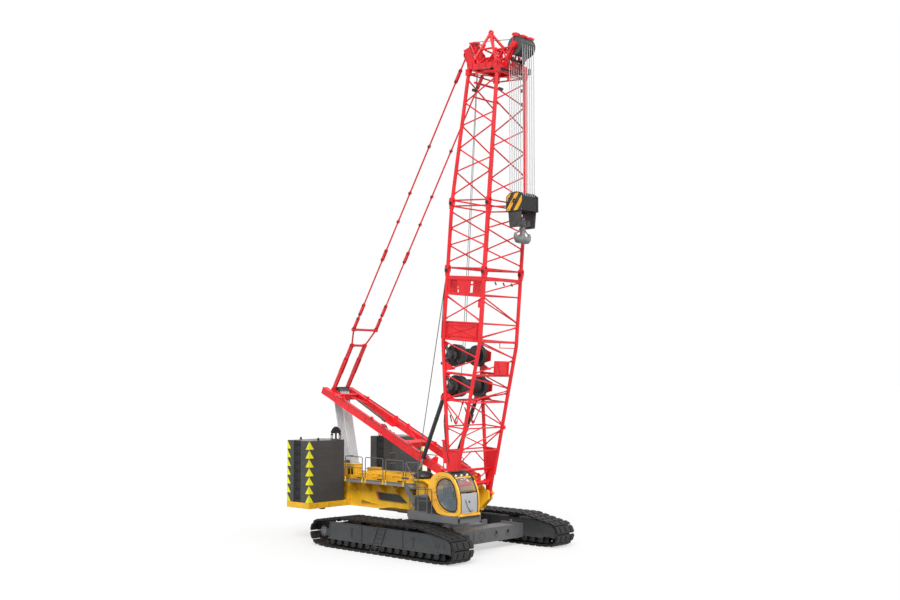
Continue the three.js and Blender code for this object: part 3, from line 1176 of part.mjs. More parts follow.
// Ramshorn hook on its shank; a nut over the crosshead carries it.
function hook() {
  const x = SHAFT_X;
  const z = BLOCK_SHEAVE_Z;
  const shank = bar([x, 0, z - 1420], [x, 0, z - 740], 75, 24);
  const nut = bar([x, 0, z - 820 + FIT], [x, 0, z - 700], 130, 24);
  const half = [[60, -1300], [90, -1430], [170, -1510], [270, -1500], [350, -1400], [400, -1290], [520, -1330],
    [600, -1450], [605, -1600], [520, -1740], [380, -1830], [180, -1860]];
  const profile = [...half, ...half.map(([y, height]) => [-y, height]).reverse()];
  const horns = plateYZ(profile, -HOOK_HALF_THICKNESS, HOOK_HALF_THICKNESS).translate([x, 0, z]);
  return join([shank, nut, horns]);
}

add("hoist_limit_weight", limitStirrup(), paint.grey);
add("hook_block", hookBlock(), paint.yellow);
add("block_sheaves", sheavePack(SHAFT_X, BLOCK_SHEAVE_Z, SHEAVE_RADIUS, SHEAVE_COUNT, SHEAVE_PITCH,
  HEAD_SHAFT_RADIUS + PIN_CLEARANCE), paint.black);
add("ramshorn_hook", hook(), paint.black);

export default crane;
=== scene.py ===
import math
import bmesh
import bpy
import numpy as np
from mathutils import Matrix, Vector


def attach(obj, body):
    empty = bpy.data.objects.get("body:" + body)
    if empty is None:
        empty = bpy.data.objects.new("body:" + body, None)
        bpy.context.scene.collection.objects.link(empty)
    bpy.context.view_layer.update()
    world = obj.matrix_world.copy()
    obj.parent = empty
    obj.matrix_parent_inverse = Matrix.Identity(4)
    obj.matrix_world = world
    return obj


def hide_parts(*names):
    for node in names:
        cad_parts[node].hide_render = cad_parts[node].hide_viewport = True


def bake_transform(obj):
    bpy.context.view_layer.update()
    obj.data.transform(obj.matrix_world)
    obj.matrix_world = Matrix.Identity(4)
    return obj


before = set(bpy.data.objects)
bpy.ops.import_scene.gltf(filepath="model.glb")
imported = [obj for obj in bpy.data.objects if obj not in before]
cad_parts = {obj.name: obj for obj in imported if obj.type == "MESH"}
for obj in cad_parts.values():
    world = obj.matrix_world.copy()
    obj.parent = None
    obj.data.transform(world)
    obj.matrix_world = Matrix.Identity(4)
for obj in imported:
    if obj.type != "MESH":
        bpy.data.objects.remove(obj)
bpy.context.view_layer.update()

SLEW_X = 1.03  # slewing axis ahead of the frame's origin; every size below is from the slewing axis


# ---------- shapes ----------
def rows(a, b, c):
    return np.array([a, b, c, (0, 0, 0, 1)], float)


TILT, MAST_TILT = math.radians(5), math.radians(23.7)
FOOT_X, FOOT_Z = 1.8, 2.42  # boom foot pin
MAST_X, MAST_Z = 1.45, 3.19  # mast foot pin
STOP_X, STOP_Z = 1.2, 6.8  # upper pins of the backstops
HEAD_V, HEAD_U = 1.37, 20.12  # head sheave shaft: ahead of the boom's middle, and along it
WINCHES = ((6.25, -0.76), (4.87, -0.56))  # hoist drums: along the boom, and ahead of its middle
# a point (v, y, u) of the boom has v ahead and u along it; on the mast, h is above its legs and l along them
LEAN = rows((math.cos(TILT), 0, math.sin(TILT), FOOT_X), (0, 1, 0, 0),
            (-math.sin(TILT), 0, math.cos(TILT), FOOT_Z))
LAY = rows((math.sin(MAST_TILT), 0, -math.cos(MAST_TILT), MAST_X), (0, 1, 0, 0),
           (math.cos(MAST_TILT), 0, math.sin(MAST_TILT), MAST_Z))


def at(place, *p):
    return (place @ np.array([*p, 1.0]))[:3]


class Kit:
    """Closed shapes collected to make one piece."""

    def __init__(self, place=None):
        self.place = np.eye(4) if place is None else place
        self.verts, self.faces, self.count = [], [], 0

    def add(self, verts, faces):
        v = np.c_[np.asarray(verts, float), np.ones(len(verts))] @ self.place.T
        self.verts.append(v[:, :3])
        self.faces += [[i + self.count for i in f] for f in faces]
        self.count += len(v)

    def box(self, x0, x1, y0, y1, z0, z1):
        self.plate([(x0, z0), (x1, z0), (x1, z1), (x0, z1)], y0, y1)

    def boxes(self, *all_boxes):
        for b in all_boxes:
            self.box(*b)

    def plate(self, points, a, b, plane="xz"):
        order = {"xz": lambda p, d: (p[0], d, p[1]), "yz": lambda p, d: (d, p[0], p[1]),
                 "xy": lambda p, d: (p[0], p[1], d)}[plane]
        n = len(points)
        verts = [order(p, a) for p in points] + [order(p, b) for p in points]
        sides = [[i, (i + 1) % n, (i + 1) % n + n, i + n] for i in range(n)]
        self.add(verts, [list(range(n))[::-1], list(range(n, 2 * n))] + sides)

    def sweep(self, points, radii, n=8, closed=False):
        """A round bar along points."""
        pts = [np.array(p, float) for p in points]
        m = len(pts)
        radii = [radii] * m if np.isscalar(radii) else radii
        side, verts = None, []
        for i, p in enumerate(pts):
            if closed:
                t = pts[(i + 1) % m] - pts[i - 1]
            else:
                t = pts[min(i + 1, m - 1)] - pts[max(i - 1, 0)]
            t = t / np.linalg.norm(t)
            if side is None:
                side = np.cross(t, (0, 0, 1.0) if abs(t[2]) < 0.9 else (0, 1.0, 0))
            side = side - t * np.dot(side, t)
            side /= np.linalg.norm(side)
            up = np.cross(side, t)
            for k in range(n):
                a = 2 * math.pi * (k + 0.5) / n
                verts.append(p + radii[i] * (math.cos(a) * side + math.sin(a) * up))
        faces = []
        for i in range(m if closed else m - 1):
            j = (i + 1) % m
            faces += [[i * n + k, i * n + (k + 1) % n, j * n + (k + 1) % n, j * n + k] for k in range(n)]
        if not closed:
            faces += [list(range(n))[::-1], [(m - 1) * n + k for k in range(n)]]
        self.add(verts, faces)

    def bar(self, p, q, r, n=10, r2=None):
        self.sweep([p, q], [r, r if r2 is None else r2], n)

    def lathe(self, profile, centre, axis="y", n=32):
        """profile is a closed loop of (radius, place along the axis)."""
        m, verts = len(profile), []
        for k in range(n):
            c, s = math.cos(2 * math.pi * k / n), math.sin(2 * math.pi * k / n)
            for r, t in profile:
                p = {"x": (t, r * c, r * s), "y": (r * c, t, r * s), "z": (r * c, r * s, t)}[axis]
                verts.append(np.add(p, centre))
        faces = [[k * m + i, k * m + (i + 1) % m, (k + 1) % n * m + (i + 1) % m, (k + 1) % n * m + i]
                 for k in range(n) for i in range(m)]
        self.add(verts, faces)

    def disc(self, centre, r, t0, t1, axis="y", n=24):
        """A disc with a hole too small to see."""
        hub = r * 0.02
        self.lathe([(hub, t0), (r, t0), (r, t1), (hub, t1)], centre, axis, n)

    def bolts(self, centre, ring, count, r, t0, t1, axis="y"):
        for i in range(count):
            a = 2 * math.pi * (i + 0.5) / count
            off = {"y": (math.cos(a), 0, math.sin(a)), "z": (math.cos(a), math.sin(a), 0),
                   "x": (0, math.cos(a), math.sin(a))}[axis]
            c = np.add(centre, np.multiply(off, ring))
            along = {"y": (0, 1, 0), "z": (0, 0, 1), "x": (1, 0, 0)}[axis]
            self.bar(c + np.multiply(along, t0), c + np.multiply(along, t1), r, 6)


def inset(points, t):
    """A loop moved inwards by t; the loop runs anticlockwise."""
    pts, out = [np.array(p, float) for p in points], []
    for i, b in enumerate(pts):
        d1, d2 = b - pts[i - 1], pts[(i + 1) % len(pts)] - b
        n1, n2 = (np.array([-d[1], d[0]]) / np.linalg.norm(d) for d in (d1, d2))
        out.append(b + (n1 + n2) * t / (1 + n1 @ n2))
    return out


def rim(kit, points, t, a, b, plane="xz"):
    """A flat bar round the edge of a plate."""
    inner = inset(points, t)
    for i in range(len(points)):
        j = (i + 1) % len(points)
        kit.plate([points[i], points[j], inner[j], inner[i]], a, b, plane)


def span(side, a, b, middle=0.0):
    """Two places on one side of a middle, the lower first."""
    return sorted((middle + side * a, middle + side * b))


def wedge(x, low, high, z0, z1):
    """Four corners, low and high being the half widths at z0 and at z1."""
    return [(x - low, z0), (x + low, z0), (x + high, z1), (x - high, z1)]


def tube_ring(kit, x, z, y0, y1, bore, r, n=28):
    kit.lathe([(bore, y0), (r, y0), (r, y1), (bore, y1)], (x, 0, z), "y", n)


def sheave_rims(kit, x, z, step, half, r0, r1, n):
    """Seven flanges, one on each side of every groove of six sheaves."""
    for i in range(-3, 4):
        tube_ring(kit, x, z, i * step - half, i * step + half, r0, r1, n)


def wound_rope(kit, x, z, y0, y1, radii, valley, n, turns=36):
    """Turns of rope side by side on a drum; radii are of the core, shoulder, crest and valley."""
    core, shoulder, crest, low = radii
    edge = [(core, y0)]
    for i in range(turns):
        y = y0 + (i + 0.5) * (y1 - y0) / turns
        edge += [(shoulder, y - 0.010), (crest, y), (shoulder, y + 0.010), (low, y + valley)]
    kit.lathe(edge + [(core, y1)], (x, 0, z), "y", n)


def sleeves(kit, p, q, start, end, r, n):
    """A thicker length at each end of a bar."""
    for e, t in ((p, q), (q, p)):
        d = (t - e) / np.linalg.norm(t - e)
        kit.bar(e + d * start, e + d * end, r, n)


def make(name, kit, look, body, bevel=0.0, angle=32, replaces=(), blend=None):
    mesh = bpy.data.meshes.new(name)
    mesh.from_pydata((np.vstack(kit.verts) + (SLEW_X, 0, 0)).tolist(), [], kit.faces)
    bm = bmesh.new()
    bm.from_mesh(mesh)
    bmesh.ops.recalc_face_normals(bm, faces=bm.faces)
    bm.to_mesh(mesh)
    bm.free()
    mesh.shade_smooth()
    mesh.set_sharp_from_angle(angle=math.radians(angle))
    material, slot = look
    mesh.materials.append(material)
    obj = bpy.data.objects.new(name, mesh)
    bpy.context.scene.collection.objects.link(obj)
    if bevel:
        mod = obj.modifiers.new("edge", "BEVEL")
        mod.width, mod.segments, mod.limit_method = bevel, 2, "ANGLE"
        mod.angle_limit, mod.harden_normals = math.radians(40), True
    if blend:
        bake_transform(obj)
    else:
        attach(obj, body)
    if replaces:
        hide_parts(*replaces)
    return obj


# ---------- materials ----------
def linear(code):
    c = [int(code[i:i + 2], 16) / 255 for i in (0, 2, 4)]
    return [v / 12.92 if v <= 0.04045 else ((v + 0.055) / 1.055) ** 2.4 for v in c] + [1.0]


class Look:
    """A procedural surface: two paint tones, streaks, dust from below, chips and a fine bump."""

    def __init__(self, name):
        self.m = bpy.data.materials.new(name)
        self.m.use_nodes = True
        self.t = self.m.node_tree
        self.bsdf = self.t.nodes["Principled BSDF"]
        self.coord = self.t.nodes.new("ShaderNodeTexCoord")

    def feed(self, socket, value):
        if hasattr(value, "is_output"):
            self.t.links.new(value, socket)
        else:
            socket.default_value = value

    def noise(self, scale, detail=5.0, stretch=(1, 1, 1), rough=0.55):
        mapping = self.t.nodes.new("ShaderNodeMapping")
        mapping.inputs["Scale"].default_value = stretch
        self.t.links.new(self.coord.outputs["Object"], mapping.inputs["Vector"])
        node = self.t.nodes.new("ShaderNodeTexNoise")
        node.inputs["Scale"].default_value = scale
        node.inputs["Detail"].default_value = detail
        node.inputs["Roughness"].default_value = rough
        self.t.links.new(mapping.outputs["Vector"], node.inputs["Vector"])
        return node.outputs["Fac"]

    def ramp(self, value, lo, hi, out_lo=0.0, out_hi=1.0):
        node = self.t.nodes.new("ShaderNodeMapRange")
        for key, number in (("From Min", lo), ("From Max", hi), ("To Min", out_lo), ("To Max", out_hi)):
            node.inputs[key].default_value = number
        self.t.links.new(value, node.inputs["Value"])
        return node.outputs["Result"]

    def mix(self, factor, a, b):
        node = self.t.nodes.new("ShaderNodeMix")
        node.data_type = "RGBA"
        for socket, value in ((node.inputs[0], factor), (node.inputs[6], a), (node.inputs[7], b)):
            self.feed(socket, value)
        return node.outputs[2]

    def math(self, operation, a, b):
        node = self.t.nodes.new("ShaderNodeMath")
        node.operation = operation
        for socket, value in ((node.inputs[0], a), (node.inputs[1], b)):
            self.feed(socket, value)
        return node.outputs[0]

    def height(self):
        node = self.t.nodes.new("ShaderNodeSeparateXYZ")
        self.t.links.new(self.coord.outputs["Object"], node.inputs[0])
        return node.outputs["Z"]

    def bump(self, value, strength, distance=0.01):
        node = self.t.nodes.new("ShaderNodeBump")
        node.inputs["Strength"].default_value = strength
        node.inputs["Distance"].default_value = distance
        self.t.links.new(value, node.inputs["Height"])
        self.t.links.new(node.outputs["Normal"], self.bsdf.inputs["Normal"])

    def put(self, **values):
        for key, value in values.items():
            self.feed(self.bsdf.inputs[key.replace("_", " ")], value)


def painted(name, slot, main, shade, rough=0.42, metal=0.0, dust=0.0, dust_top=2.5, chips=0.0, chip="2a2420",
            streak=0.35, grain=90.0, bump=0.12):
    look = Look(name)
    tone = look.ramp(look.noise(0.9, 6), 0.36, 0.66)
    colour = look.mix(tone, linear(main), linear(shade))
    runs = look.ramp(look.noise(2.6, 5, (1, 1, 0.12)), 0.52, 0.74, 0.0, streak)
    colour = look.mix(runs, colour, linear(shade))
    if dust:
        low = look.ramp(look.height(), dust_top, 0.1, 0.0, dust)
        patch = look.math("MULTIPLY", low, look.ramp(look.noise(3.2, 8), 0.35, 0.6, 0.25, 1.0))
        colour = look.mix(patch, colour, linear("8d8271"))
    if chips:
        spots = look.ramp(look.noise(16, 9, rough=0.7), 0.66 - chips, 0.68 - chips)
        colour = look.mix(spots, colour, linear(chip))
    look.put(Base_Color=colour, Metallic=metal, Roughness=look.ramp(look.noise(7, 4), 0.3, 0.7, rough - 0.08,
            rough + 0.14))
    look.bump(look.noise(grain, 3), bump, 0.006)
    return look.m, slot


def rope_look(name, main, shade, scale=34.0):
    """Strands laid round a wire rope."""
    look = Look(name)
    wave = look.t.nodes.new("ShaderNodeTexWave")
    wave.bands_direction = "DIAGONAL"
    wave.inputs["Scale"].default_value = scale
    wave.inputs["Distortion"].default_value = 0.4
    look.t.links.new(look.coord.outputs["Object"], wave.inputs["Vector"])
    tone = look.math("MULTIPLY", wave.outputs["Fac"], look.ramp(look.noise(5, 4), 0.3, 0.7, 0.6, 1.0))
    look.put(Base_Color=look.mix(tone, linear(shade), linear(main)), Metallic=0.55, Roughness=0.5)
    look.bump(wave.outputs["Fac"], 0.5, 0.004)
    return look.m, "black_steel"


def striped(name):
    """Yellow and black warning stripes, sloping up to the front."""
    look = Look(name)
    split = look.t.nodes.new("ShaderNodeSeparateXYZ")
    look.t.links.new(look.coord.outputs["Object"], split.inputs[0])
    slope = look.math("SUBTRACT", split.outputs["X"], look.math("MULTIPLY", split.outputs["Z"], 0.72))
    saw = look.math("FRACT", look.math("MULTIPLY", slope, 2.25), 0.0)
    edge = look.ramp(saw, 0.48, 0.50)
    yellow = look.mix(look.ramp(look.noise(4, 6), 0.35, 0.7), linear("fbc02a"), linear("e59d14"))
    black = look.mix(look.ramp(look.noise(6, 6), 0.4, 0.7), linear("2a2522"), linear("4a4038"))
    look.put(Base_Color=look.mix(edge, yellow, black), Roughness=look.ramp(look.noise(9, 4), 0.3, 0.7, 0.42,
            0.6))
    look.bump(look.noise(60, 3), 0.12, 0.006)
    return look.m, "yellow_paint"


def glass_look(name, tint, alpha):
    look = Look(name)
    film = look.ramp(look.noise(1.6, 5), 0.35, 0.75, alpha, alpha + 0.12)
    look.put(Base_Color=look.mix(look.ramp(look.noise(2.2, 5), 0.3, 0.7), linear(tint), linear("93a3aa")),
             Roughness=look.ramp(look.noise(6, 5), 0.3, 0.7, 0.04, 0.12), Alpha=film, IOR=1.45)
    look.bump(look.noise(1.1, 2), 0.04, 0.004)
    return look.m, "window_glass"


def tread_look(name):
    """Dark open grating: pale bars round dark cells, the cells being painted shade under the walkway."""
    look = Look(name)
    brick = look.t.nodes.new("ShaderNodeTexBrick")
    brick.offset = 0.0
    for key, number in (("Scale", 9.0), ("Mortar Size", 0.018), ("Brick Width", 0.36), ("Row Height", 0.36)):
        brick.inputs[key].default_value = number
    look.t.links.new(look.coord.outputs["Object"], brick.inputs["Vector"])
    # the dark cells are painted shade from under the walkway; the pale mortar lines are the bars
    brick.inputs["Color1"].default_value = linear("3c3d3f")
    brick.inputs["Color2"].default_value = linear("48494b")
    brick.inputs["Mortar"].default_value = linear("8b8c8e")
    look.put(Base_Color=brick.outputs["Color"], Roughness=look.ramp(look.noise(8, 4), 0.3, 0.7, 0.5, 0.75),
             Metallic=0.3)
    look.bump(brick.outputs["Fac"], 0.5, 0.01)
    return look.m, "grey_paint"


RED = painted("red_paint", "red_paint", "f3242f", "dc1622", rough=0.36, streak=0.2)
YELLOW = painted("yellow_paint", "yellow_paint", "fdc82c", "e2ab20", rough=0.4)
PALE_YELLOW = painted("pale_yellow", "yellow_paint", "fbd86a", "f3c648", rough=0.3, streak=0.1)
CAB_YELLOW = painted("cab_yellow", "yellow_paint", "fbc238", "f0ac28", rough=0.32, streak=0.15)
GREY = painted("dark_grey_paint", "grey_paint", "68696c", "58595c", rough=0.45, dust=0.08)
SLAB = painted("counterweight_grey", "grey_paint", "434444", "3a3b3b", rough=0.6, chips=0.01, chip="6a6a6c",
               bump=0.3)
# a lighter copy of the counterweight grey for the stacks' tops: painted light
SLAB_LIT_TOP = painted("slab_painted_lit_top", "grey_paint", "8c8c8f", "77777a", rough=0.65, bump=0.3)
FRAME_GREY = painted("side_frame_grey", "grey_paint", "36393c", "2c2f32", rough=0.5, chips=0.01,
                     chip="5c5f62", dust=0.12, dust_top=0.9)
SHOE = painted("shoe_steel", "track_steel", "18181a", "232120", rough=0.62, metal=0.12, dust=0.05,
               dust_top=0.9, streak=0.4, bump=0.35)
BLACK = painted("black_paint", "black_steel", "1f2021", "2b2b2c", rough=0.4)
DRUM_GREY = painted("sheave_grey", "black_steel", "434445", "333435", rough=0.42, metal=0.2)
HOOK_GREY = painted("hook_grey", "black_steel", "565655", "434342", rough=0.45, metal=0.3, chips=0.03)
DULL_BROWN = painted("cylinder_brown", "black_steel", "6a5d56", "524844", rough=0.5, metal=0.2)
RAIL = painted("rail_grey", "grey_paint", "6e6f70", "57585a", rough=0.45, metal=0.3)
CHROME = painted("bright_rod", "chrome", "cfd2d5", "b4b8bc", rough=0.2, metal=0.95, streak=0.1, bump=0.03)
MARK = painted("triangle_yellow", "yellow_paint", "f2f01c", "dfd916", rough=0.5, streak=0.1)
# opaque pale grey for the lower windscreen pane: a painted reflection in the glass
PAINTED_REFLECTION_PANEL = painted("pane_painted_reflection", "seat_plastic", "b4b6b8", "a5a7aa", rough=0.4, streak=0.2)
SLASH = painted("plate_red", "red_paint", "d8323a", "c0262e", rough=0.4)
LAMP = painted("lamp_white", "seat_plastic", "f2f2ee", "e4e4e0", rough=0.25, streak=0.1)
RUBBER = painted("seal_rubber", "seat_plastic", "1b1b1c", "242425", rough=0.7)
SEAT = painted("seat_cloth", "seat_plastic", "303136", "3d3e44", rough=0.85, grain=260, bump=0.5)
SOOT = painted("engine_dark", "black_steel", "2c2d2e", "3b3833", rough=0.6, metal=0.3)
ROPE = rope_look("hoist_rope", "c9cbcc", "8f9192")
ROPE_DARK = rope_look("winch_rope", "77797a", "4c4e4f")
STRIPES = striped("warning_stripes")
GLASS = glass_look("window_glass", "7f8f98", 0.24)
CLEAR = glass_look("windscreen_glass", "b9c4c8", 0.10)
GRATING = tread_look("walkway_grating")
DRUM_ROPE = rope_look("drum_rope", "4c4c4d", "343435", 20.0)
ROPE_PALE = rope_look("luffing_rope", "eceded", "b4b6b8", 9.0)
SHEAVE_RIM = painted("sheave_rim", "black_steel", "626365", "4a4b4d", rough=0.38, metal=0.4)
# darker yellow for the sheets over the pressed recesses: painted shade
PAINTED_SHADE_YELLOW = painted("yellow_painted_shade", "yellow_paint", "b07f1c", "946814", rough=0.55)
HOOK_PALE = painted("hook_pale", "black_steel", "8a8b8c", "747576", rough=0.5, metal=0.2)
DEEP_BLACK = painted("deep_black", "black_steel", "0d0d0e", "161617", rough=0.6)
WORLD_LIGHT, FLOOR_TONE, FLOOR_GLOW = 0.70, 0.34, 0.56

NODE_LOOKS = (
    (GREY, "carbody luffing_winch_frame cab_platform"),
    (FRAME_GREY, "track_frame_left track_frame_right"),
    (SHOE, "drive_sprocket_left drive_sprocket_right track_idler_left track_idler_right"),
    (DRUM_GREY, "slew_ring_lower slew_ring_upper luffing_sheaves head_sheaves mast_sheaves "
                "block_sheaves"),
    (YELLOW, "turntable_frame machinery_hood luffing_sheave_bracket counterweight_tray"),
    (SOOT, "engine_block"),
    (BLACK, "luffing_winch_drum cab_display_stand rear_guide_sheave hoist_drum_upper hoist_drum_lower "
            "backstop_barrel_left backstop_barrel_right"),
    (GRATING, "walkway_left walkway_right"),
    (CLEAR, "cab_inner_side_glass"),
    (SEAT, "cab_seat"),
    (CHROME, "backstop_rod_left backstop_rod_right"),
    (HOOK_GREY, "hoist_limit_weight ramshorn_hook"),
)
for (material, _), nodes in NODE_LOOKS:
    for node in nodes.split():
        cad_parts[node].material_slots[0].material = material


# ---------- tracks ----------
TRACK_Y, SHOE_W, LOOP_H = 3.41, 1.21, 1.45
SPROCKET, IDLER = (-4.005, 0.64, 0.58), (4.035, 0.585, 0.55)


def hull(points):
    points = sorted(points)

    def half(seq):
        out = []
        for p in seq:
            while len(out) > 1 and ((out[-1][0] - out[-2][0]) * (p[1] - out[-2][1])
                                    - (out[-1][1] - out[-2][1]) * (p[0] - out[-2][0])) <= 1e-9:
                out.pop()
            out.append(p)
        return out[:-1]
    return half(points) + half(points[::-1])


def loop_path(inset):
    circles = [(*SPROCKET[:2], SPROCKET[2]), (*IDLER[:2], IDLER[2]), (-3.485, 0.26, 0.26),
               (3.485, 0.26, 0.26), (-2.476, LOOP_H - 0.26, 0.26), (2.476, LOOP_H - 0.26, 0.26)]
    return hull([(x + (r - inset) * math.cos(a), z + (r - inset) * math.sin(a))
                 for x, z, r in circles for a in np.linspace(0, 2 * math.pi, 96, endpoint=False)])


def along(path, count):
    """Evenly spaced places round a closed path: position, and the direction along it."""
    pts = np.array(path + path[:1])
    steps = np.linalg.norm(np.diff(pts, axis=0), axis=1)
    total, ends = steps.sum(), np.cumsum(steps)

    def place(s):
        k = int(np.searchsorted(ends, s))
        return pts[k] + (pts[k + 1] - pts[k]) * (s - ends[k] + steps[k]) / steps[k]
    reach = 0.09  # half the length over which the direction is taken
    for i in range(count):
        s = (i + 0.5) / count * total
        ahead = place((s + reach) % total) - place((s - reach) % total)
        yield place(s), ahead / np.linalg.norm(ahead)


def track(side):
    kit = Kit()
    y = side * TRACK_Y
    half = SHOE_W / 2
    n = 48
    # outline of one shoe, seen from its end: along the belt, and outwards from the link pins
    web = [(-0.170, -0.050), (0.170, -0.050), (0.182, -0.012), (0.150, 0.0), (-0.150, 0.0), (-0.182, -0.012)]
    ledge = [(-0.150, -0.02), (0.150, -0.02), (0.118, 0.042), (-0.118, 0.042)]
    link = [(-0.16, -0.045), (0.10, -0.045), (0.16, -0.11), (0.10, -0.165), (-0.10, -0.165), (-0.16, -0.10)]
    lift = 0.0445
    for p, d in along(loop_path(lift), n):
        out = np.array([d[1], -d[0]])
        kit.place = rows((d[0], 0, out[0], p[0]), (0, 1, 0, y), (d[1], 0, out[1], p[1]))
        kit.plate(web, -half, half)
        for y0, y1 in ((-half, -half + 0.20), (-half + 0.27, -0.05), (0.05, half - 0.27),
                       (half - 0.20, half)):
            kit.plate(ledge, y0, y1)
        for y0 in (-0.19, 0.13):
            kit.plate(link, y0, y0 + 0.06)
        kit.bar((0.14, -0.23, -0.09), (0.14, 0.23, -0.09), 0.028, 8)
    name = "left" if side > 0 else "right"
    make(f"track_shoes_{name}", kit, SHOE, "undercarriage", replaces=[f"track_loop_{name}"])

    kit, dark = Kit(), Kit()
    low = 0.17 + 0.15
    for i in range(9):
        x = -3.035 + i * 6.07 / 8
        for s in (-1, 1):
            face = y + s * 0.34
            kit.lathe([(0.02, 0), (0.155, 0), (0.155, s * 0.035), (0.095, s * 0.05), (0.02, s * 0.05)],
                      (x, face, low), n=20)
            kit.bolts((x, face, low), 0.07, 6, 0.012, s * 0.045, s * 0.062)
    for s in (-1, 1):
        face = y + s * 0.34
        for x in (-2.2, -1.1, 0.0, 1.1, 2.2):
            kit.box(x - 0.02, x + 0.02, *span(s, 0, 0.05, face), 0.42, 1.08)
        kit.box(-3.1, 3.1, *span(s, 0, 0.06, face), 1.06, 1.10)
        kit.box(-3.1, 3.1, *span(s, 0, 0.05, face), 0.40, 0.44)
        for x in (-2.9, 2.9):
            kit.plate(wedge(x, 0.22, 0.22, 0.55, 0.95), face - 0.02, face + s * 0.035)
            kit.bolts((x, face, 0.75), 0.17, 8, 0.016, s * 0.02, s * 0.05)
        for x in (0.35, 0.75):
            for z in (0.55, 0.75, 0.95):
                kit.sweep([(x - 0.13, face, z), (x - 0.13, face + s * 0.13, z),
                           (x + 0.13, face + s * 0.13, z), (x + 0.13, face, z)], 0.014, 6)
    # side covers under the belt, their lower rail with the roller brackets, and the ladder
    for s in (-1, 1):
        a, b = span(s, 0.53, 0.555, y)
        top, low = [(-3.25, 1.19), (-1.08, 1.20), (1.52, 1.20), (3.1, 1.19), (4.2, 1.02), (4.36, 0.80)], 0.46
        cuts = [-3.25, -1.08, 1.52, 4.36]
        for x0, x1 in zip(cuts, cuts[1:]):
            upper = [(x, z) for x, z in top if x0 < x <= x1][::-1]
            loop = [(x0 + 0.012, low), (x1 - 0.012, low)] + [(min(x, x1 - 0.012), z) for x, z in upper]
            loop.append((x0 + 0.012, 1.19))
            kit.plate(loop, a, b)
            rim(kit, loop, 0.03, *sorted((b if s > 0 else a, (b if s > 0 else a) + s * 0.012)))
        for x in (-3.2, -1.1, 1.5, 3.0):
            kit.box(x - 0.03, x + 0.03, *span(s, 0.30, 0.53, y), 0.5, 1.1)
        kit.box(-3.35, 3.7, *span(s, 0.50, 0.575, y), 0.40, 0.46)
        for x, z in ((-1.75, 0.85), (2.15, 0.82)):
            kit.sweep([(x - 0.12, y + s * 0.55, z + 0.10), (x - 0.10, y + s * 0.586, z + 0.12),
                       (x + 0.10, y + s * 0.586, z + 0.14), (x + 0.14, y + s * 0.55, z + 0.10)], 0.018)
            kit.box(x - 0.02, x + 0.02, *span(s, 0.555, 0.58, y), z - 0.28, z + 0.05)
        for x in (3.45, 3.62, 3.95):
            kit.box(x - 0.05, x + 0.05, *span(s, 0.555, 0.575, y), 0.66, 0.84)
        for i in range(15):
            x = -3.05 + i * 0.47
            dark.lathe([(0.02, y + s * 0.42), (0.135, y + s * 0.42), (0.135, y + s * 0.55),
                        (0.08, y + s * 0.58), (0.02, y + s * 0.58)], (x, 0, 0.30), "y", 18)
            dark.plate([(x - 0.13, 0.42), (x - 0.08, 0.31), (x + 0.08, 0.31), (x + 0.13, 0.42)],
                       *span(s, 0.50, 0.56, y))
        # a dark sheet along the inside of the frame, behind the rollers: painted shade between the belt runs
        dark.box(-3.3, 3.9, *span(s, 0.36, 0.42, y), 0.16, 0.46)
        for dx in (0.0, 0.52):
            kit.bar((-0.50 + dx, y + s * 0.585, 0.10), (-0.02 + dx, y + s * 0.575, 1.18), 0.017, 8)
        for i in range(6):
            t = i / 5.4
            kit.bar((-0.50 + 0.48 * t, y + s * (0.585 - 0.01 * t), 0.13 + 1.05 * t),
                    (0.02 + 0.48 * t, y + s * (0.585 - 0.01 * t), 0.13 + 1.05 * t), 0.015, 8)
        for i in range(14):
            kit.bolts((-3.15 + i * 0.48, y + s * 0.555, 1.14), 0.0, 1, 0.014, 0.0, s * 0.02)
    make(f"side_frame_detail_{name}", kit, FRAME_GREY, "undercarriage", bevel=0.004)
    # the rollers and their brackets are real parts; their deep black and the sheet behind them are painted
    # shade under the frame
    make(f"rollers_and_painted_shade_{name}", dark, DEEP_BLACK, "undercarriage")

    kit = Kit()
    for x, z, r in (SPROCKET, IDLER):
        for s in (-1, 1):
            c = (x, y + s * 0.20, z)
            kit.lathe([(0.03, 0), (0.25, 0), (0.25, s * 0.05), (0.20, s * 0.09), (0.12, s * 0.13),
                       (0.03, s * 0.14)], c, n=28)
            kit.bolts(c, 0.222, 14, 0.015, s * 0.045, s * 0.068)
            kit.bolts(c, 0.15, 8, 0.012, s * 0.10, s * 0.125)
    for i in range(16):
        a = 2 * math.pi * i / 16
        c, s = math.cos(a), math.sin(a)
        kit.place = rows((c, 0, -s, SPROCKET[0]), (0, 1, 0, y), (s, 0, c, SPROCKET[1]))
        kit.plate([(0.375, -0.05), (0.405, -0.03), (0.405, 0.03), (0.375, 0.05)], -0.10, 0.10)
    make(f"hub_covers_{name}", kit, GREY, "undercarriage")


for side in (-1, 1):
    track(side)

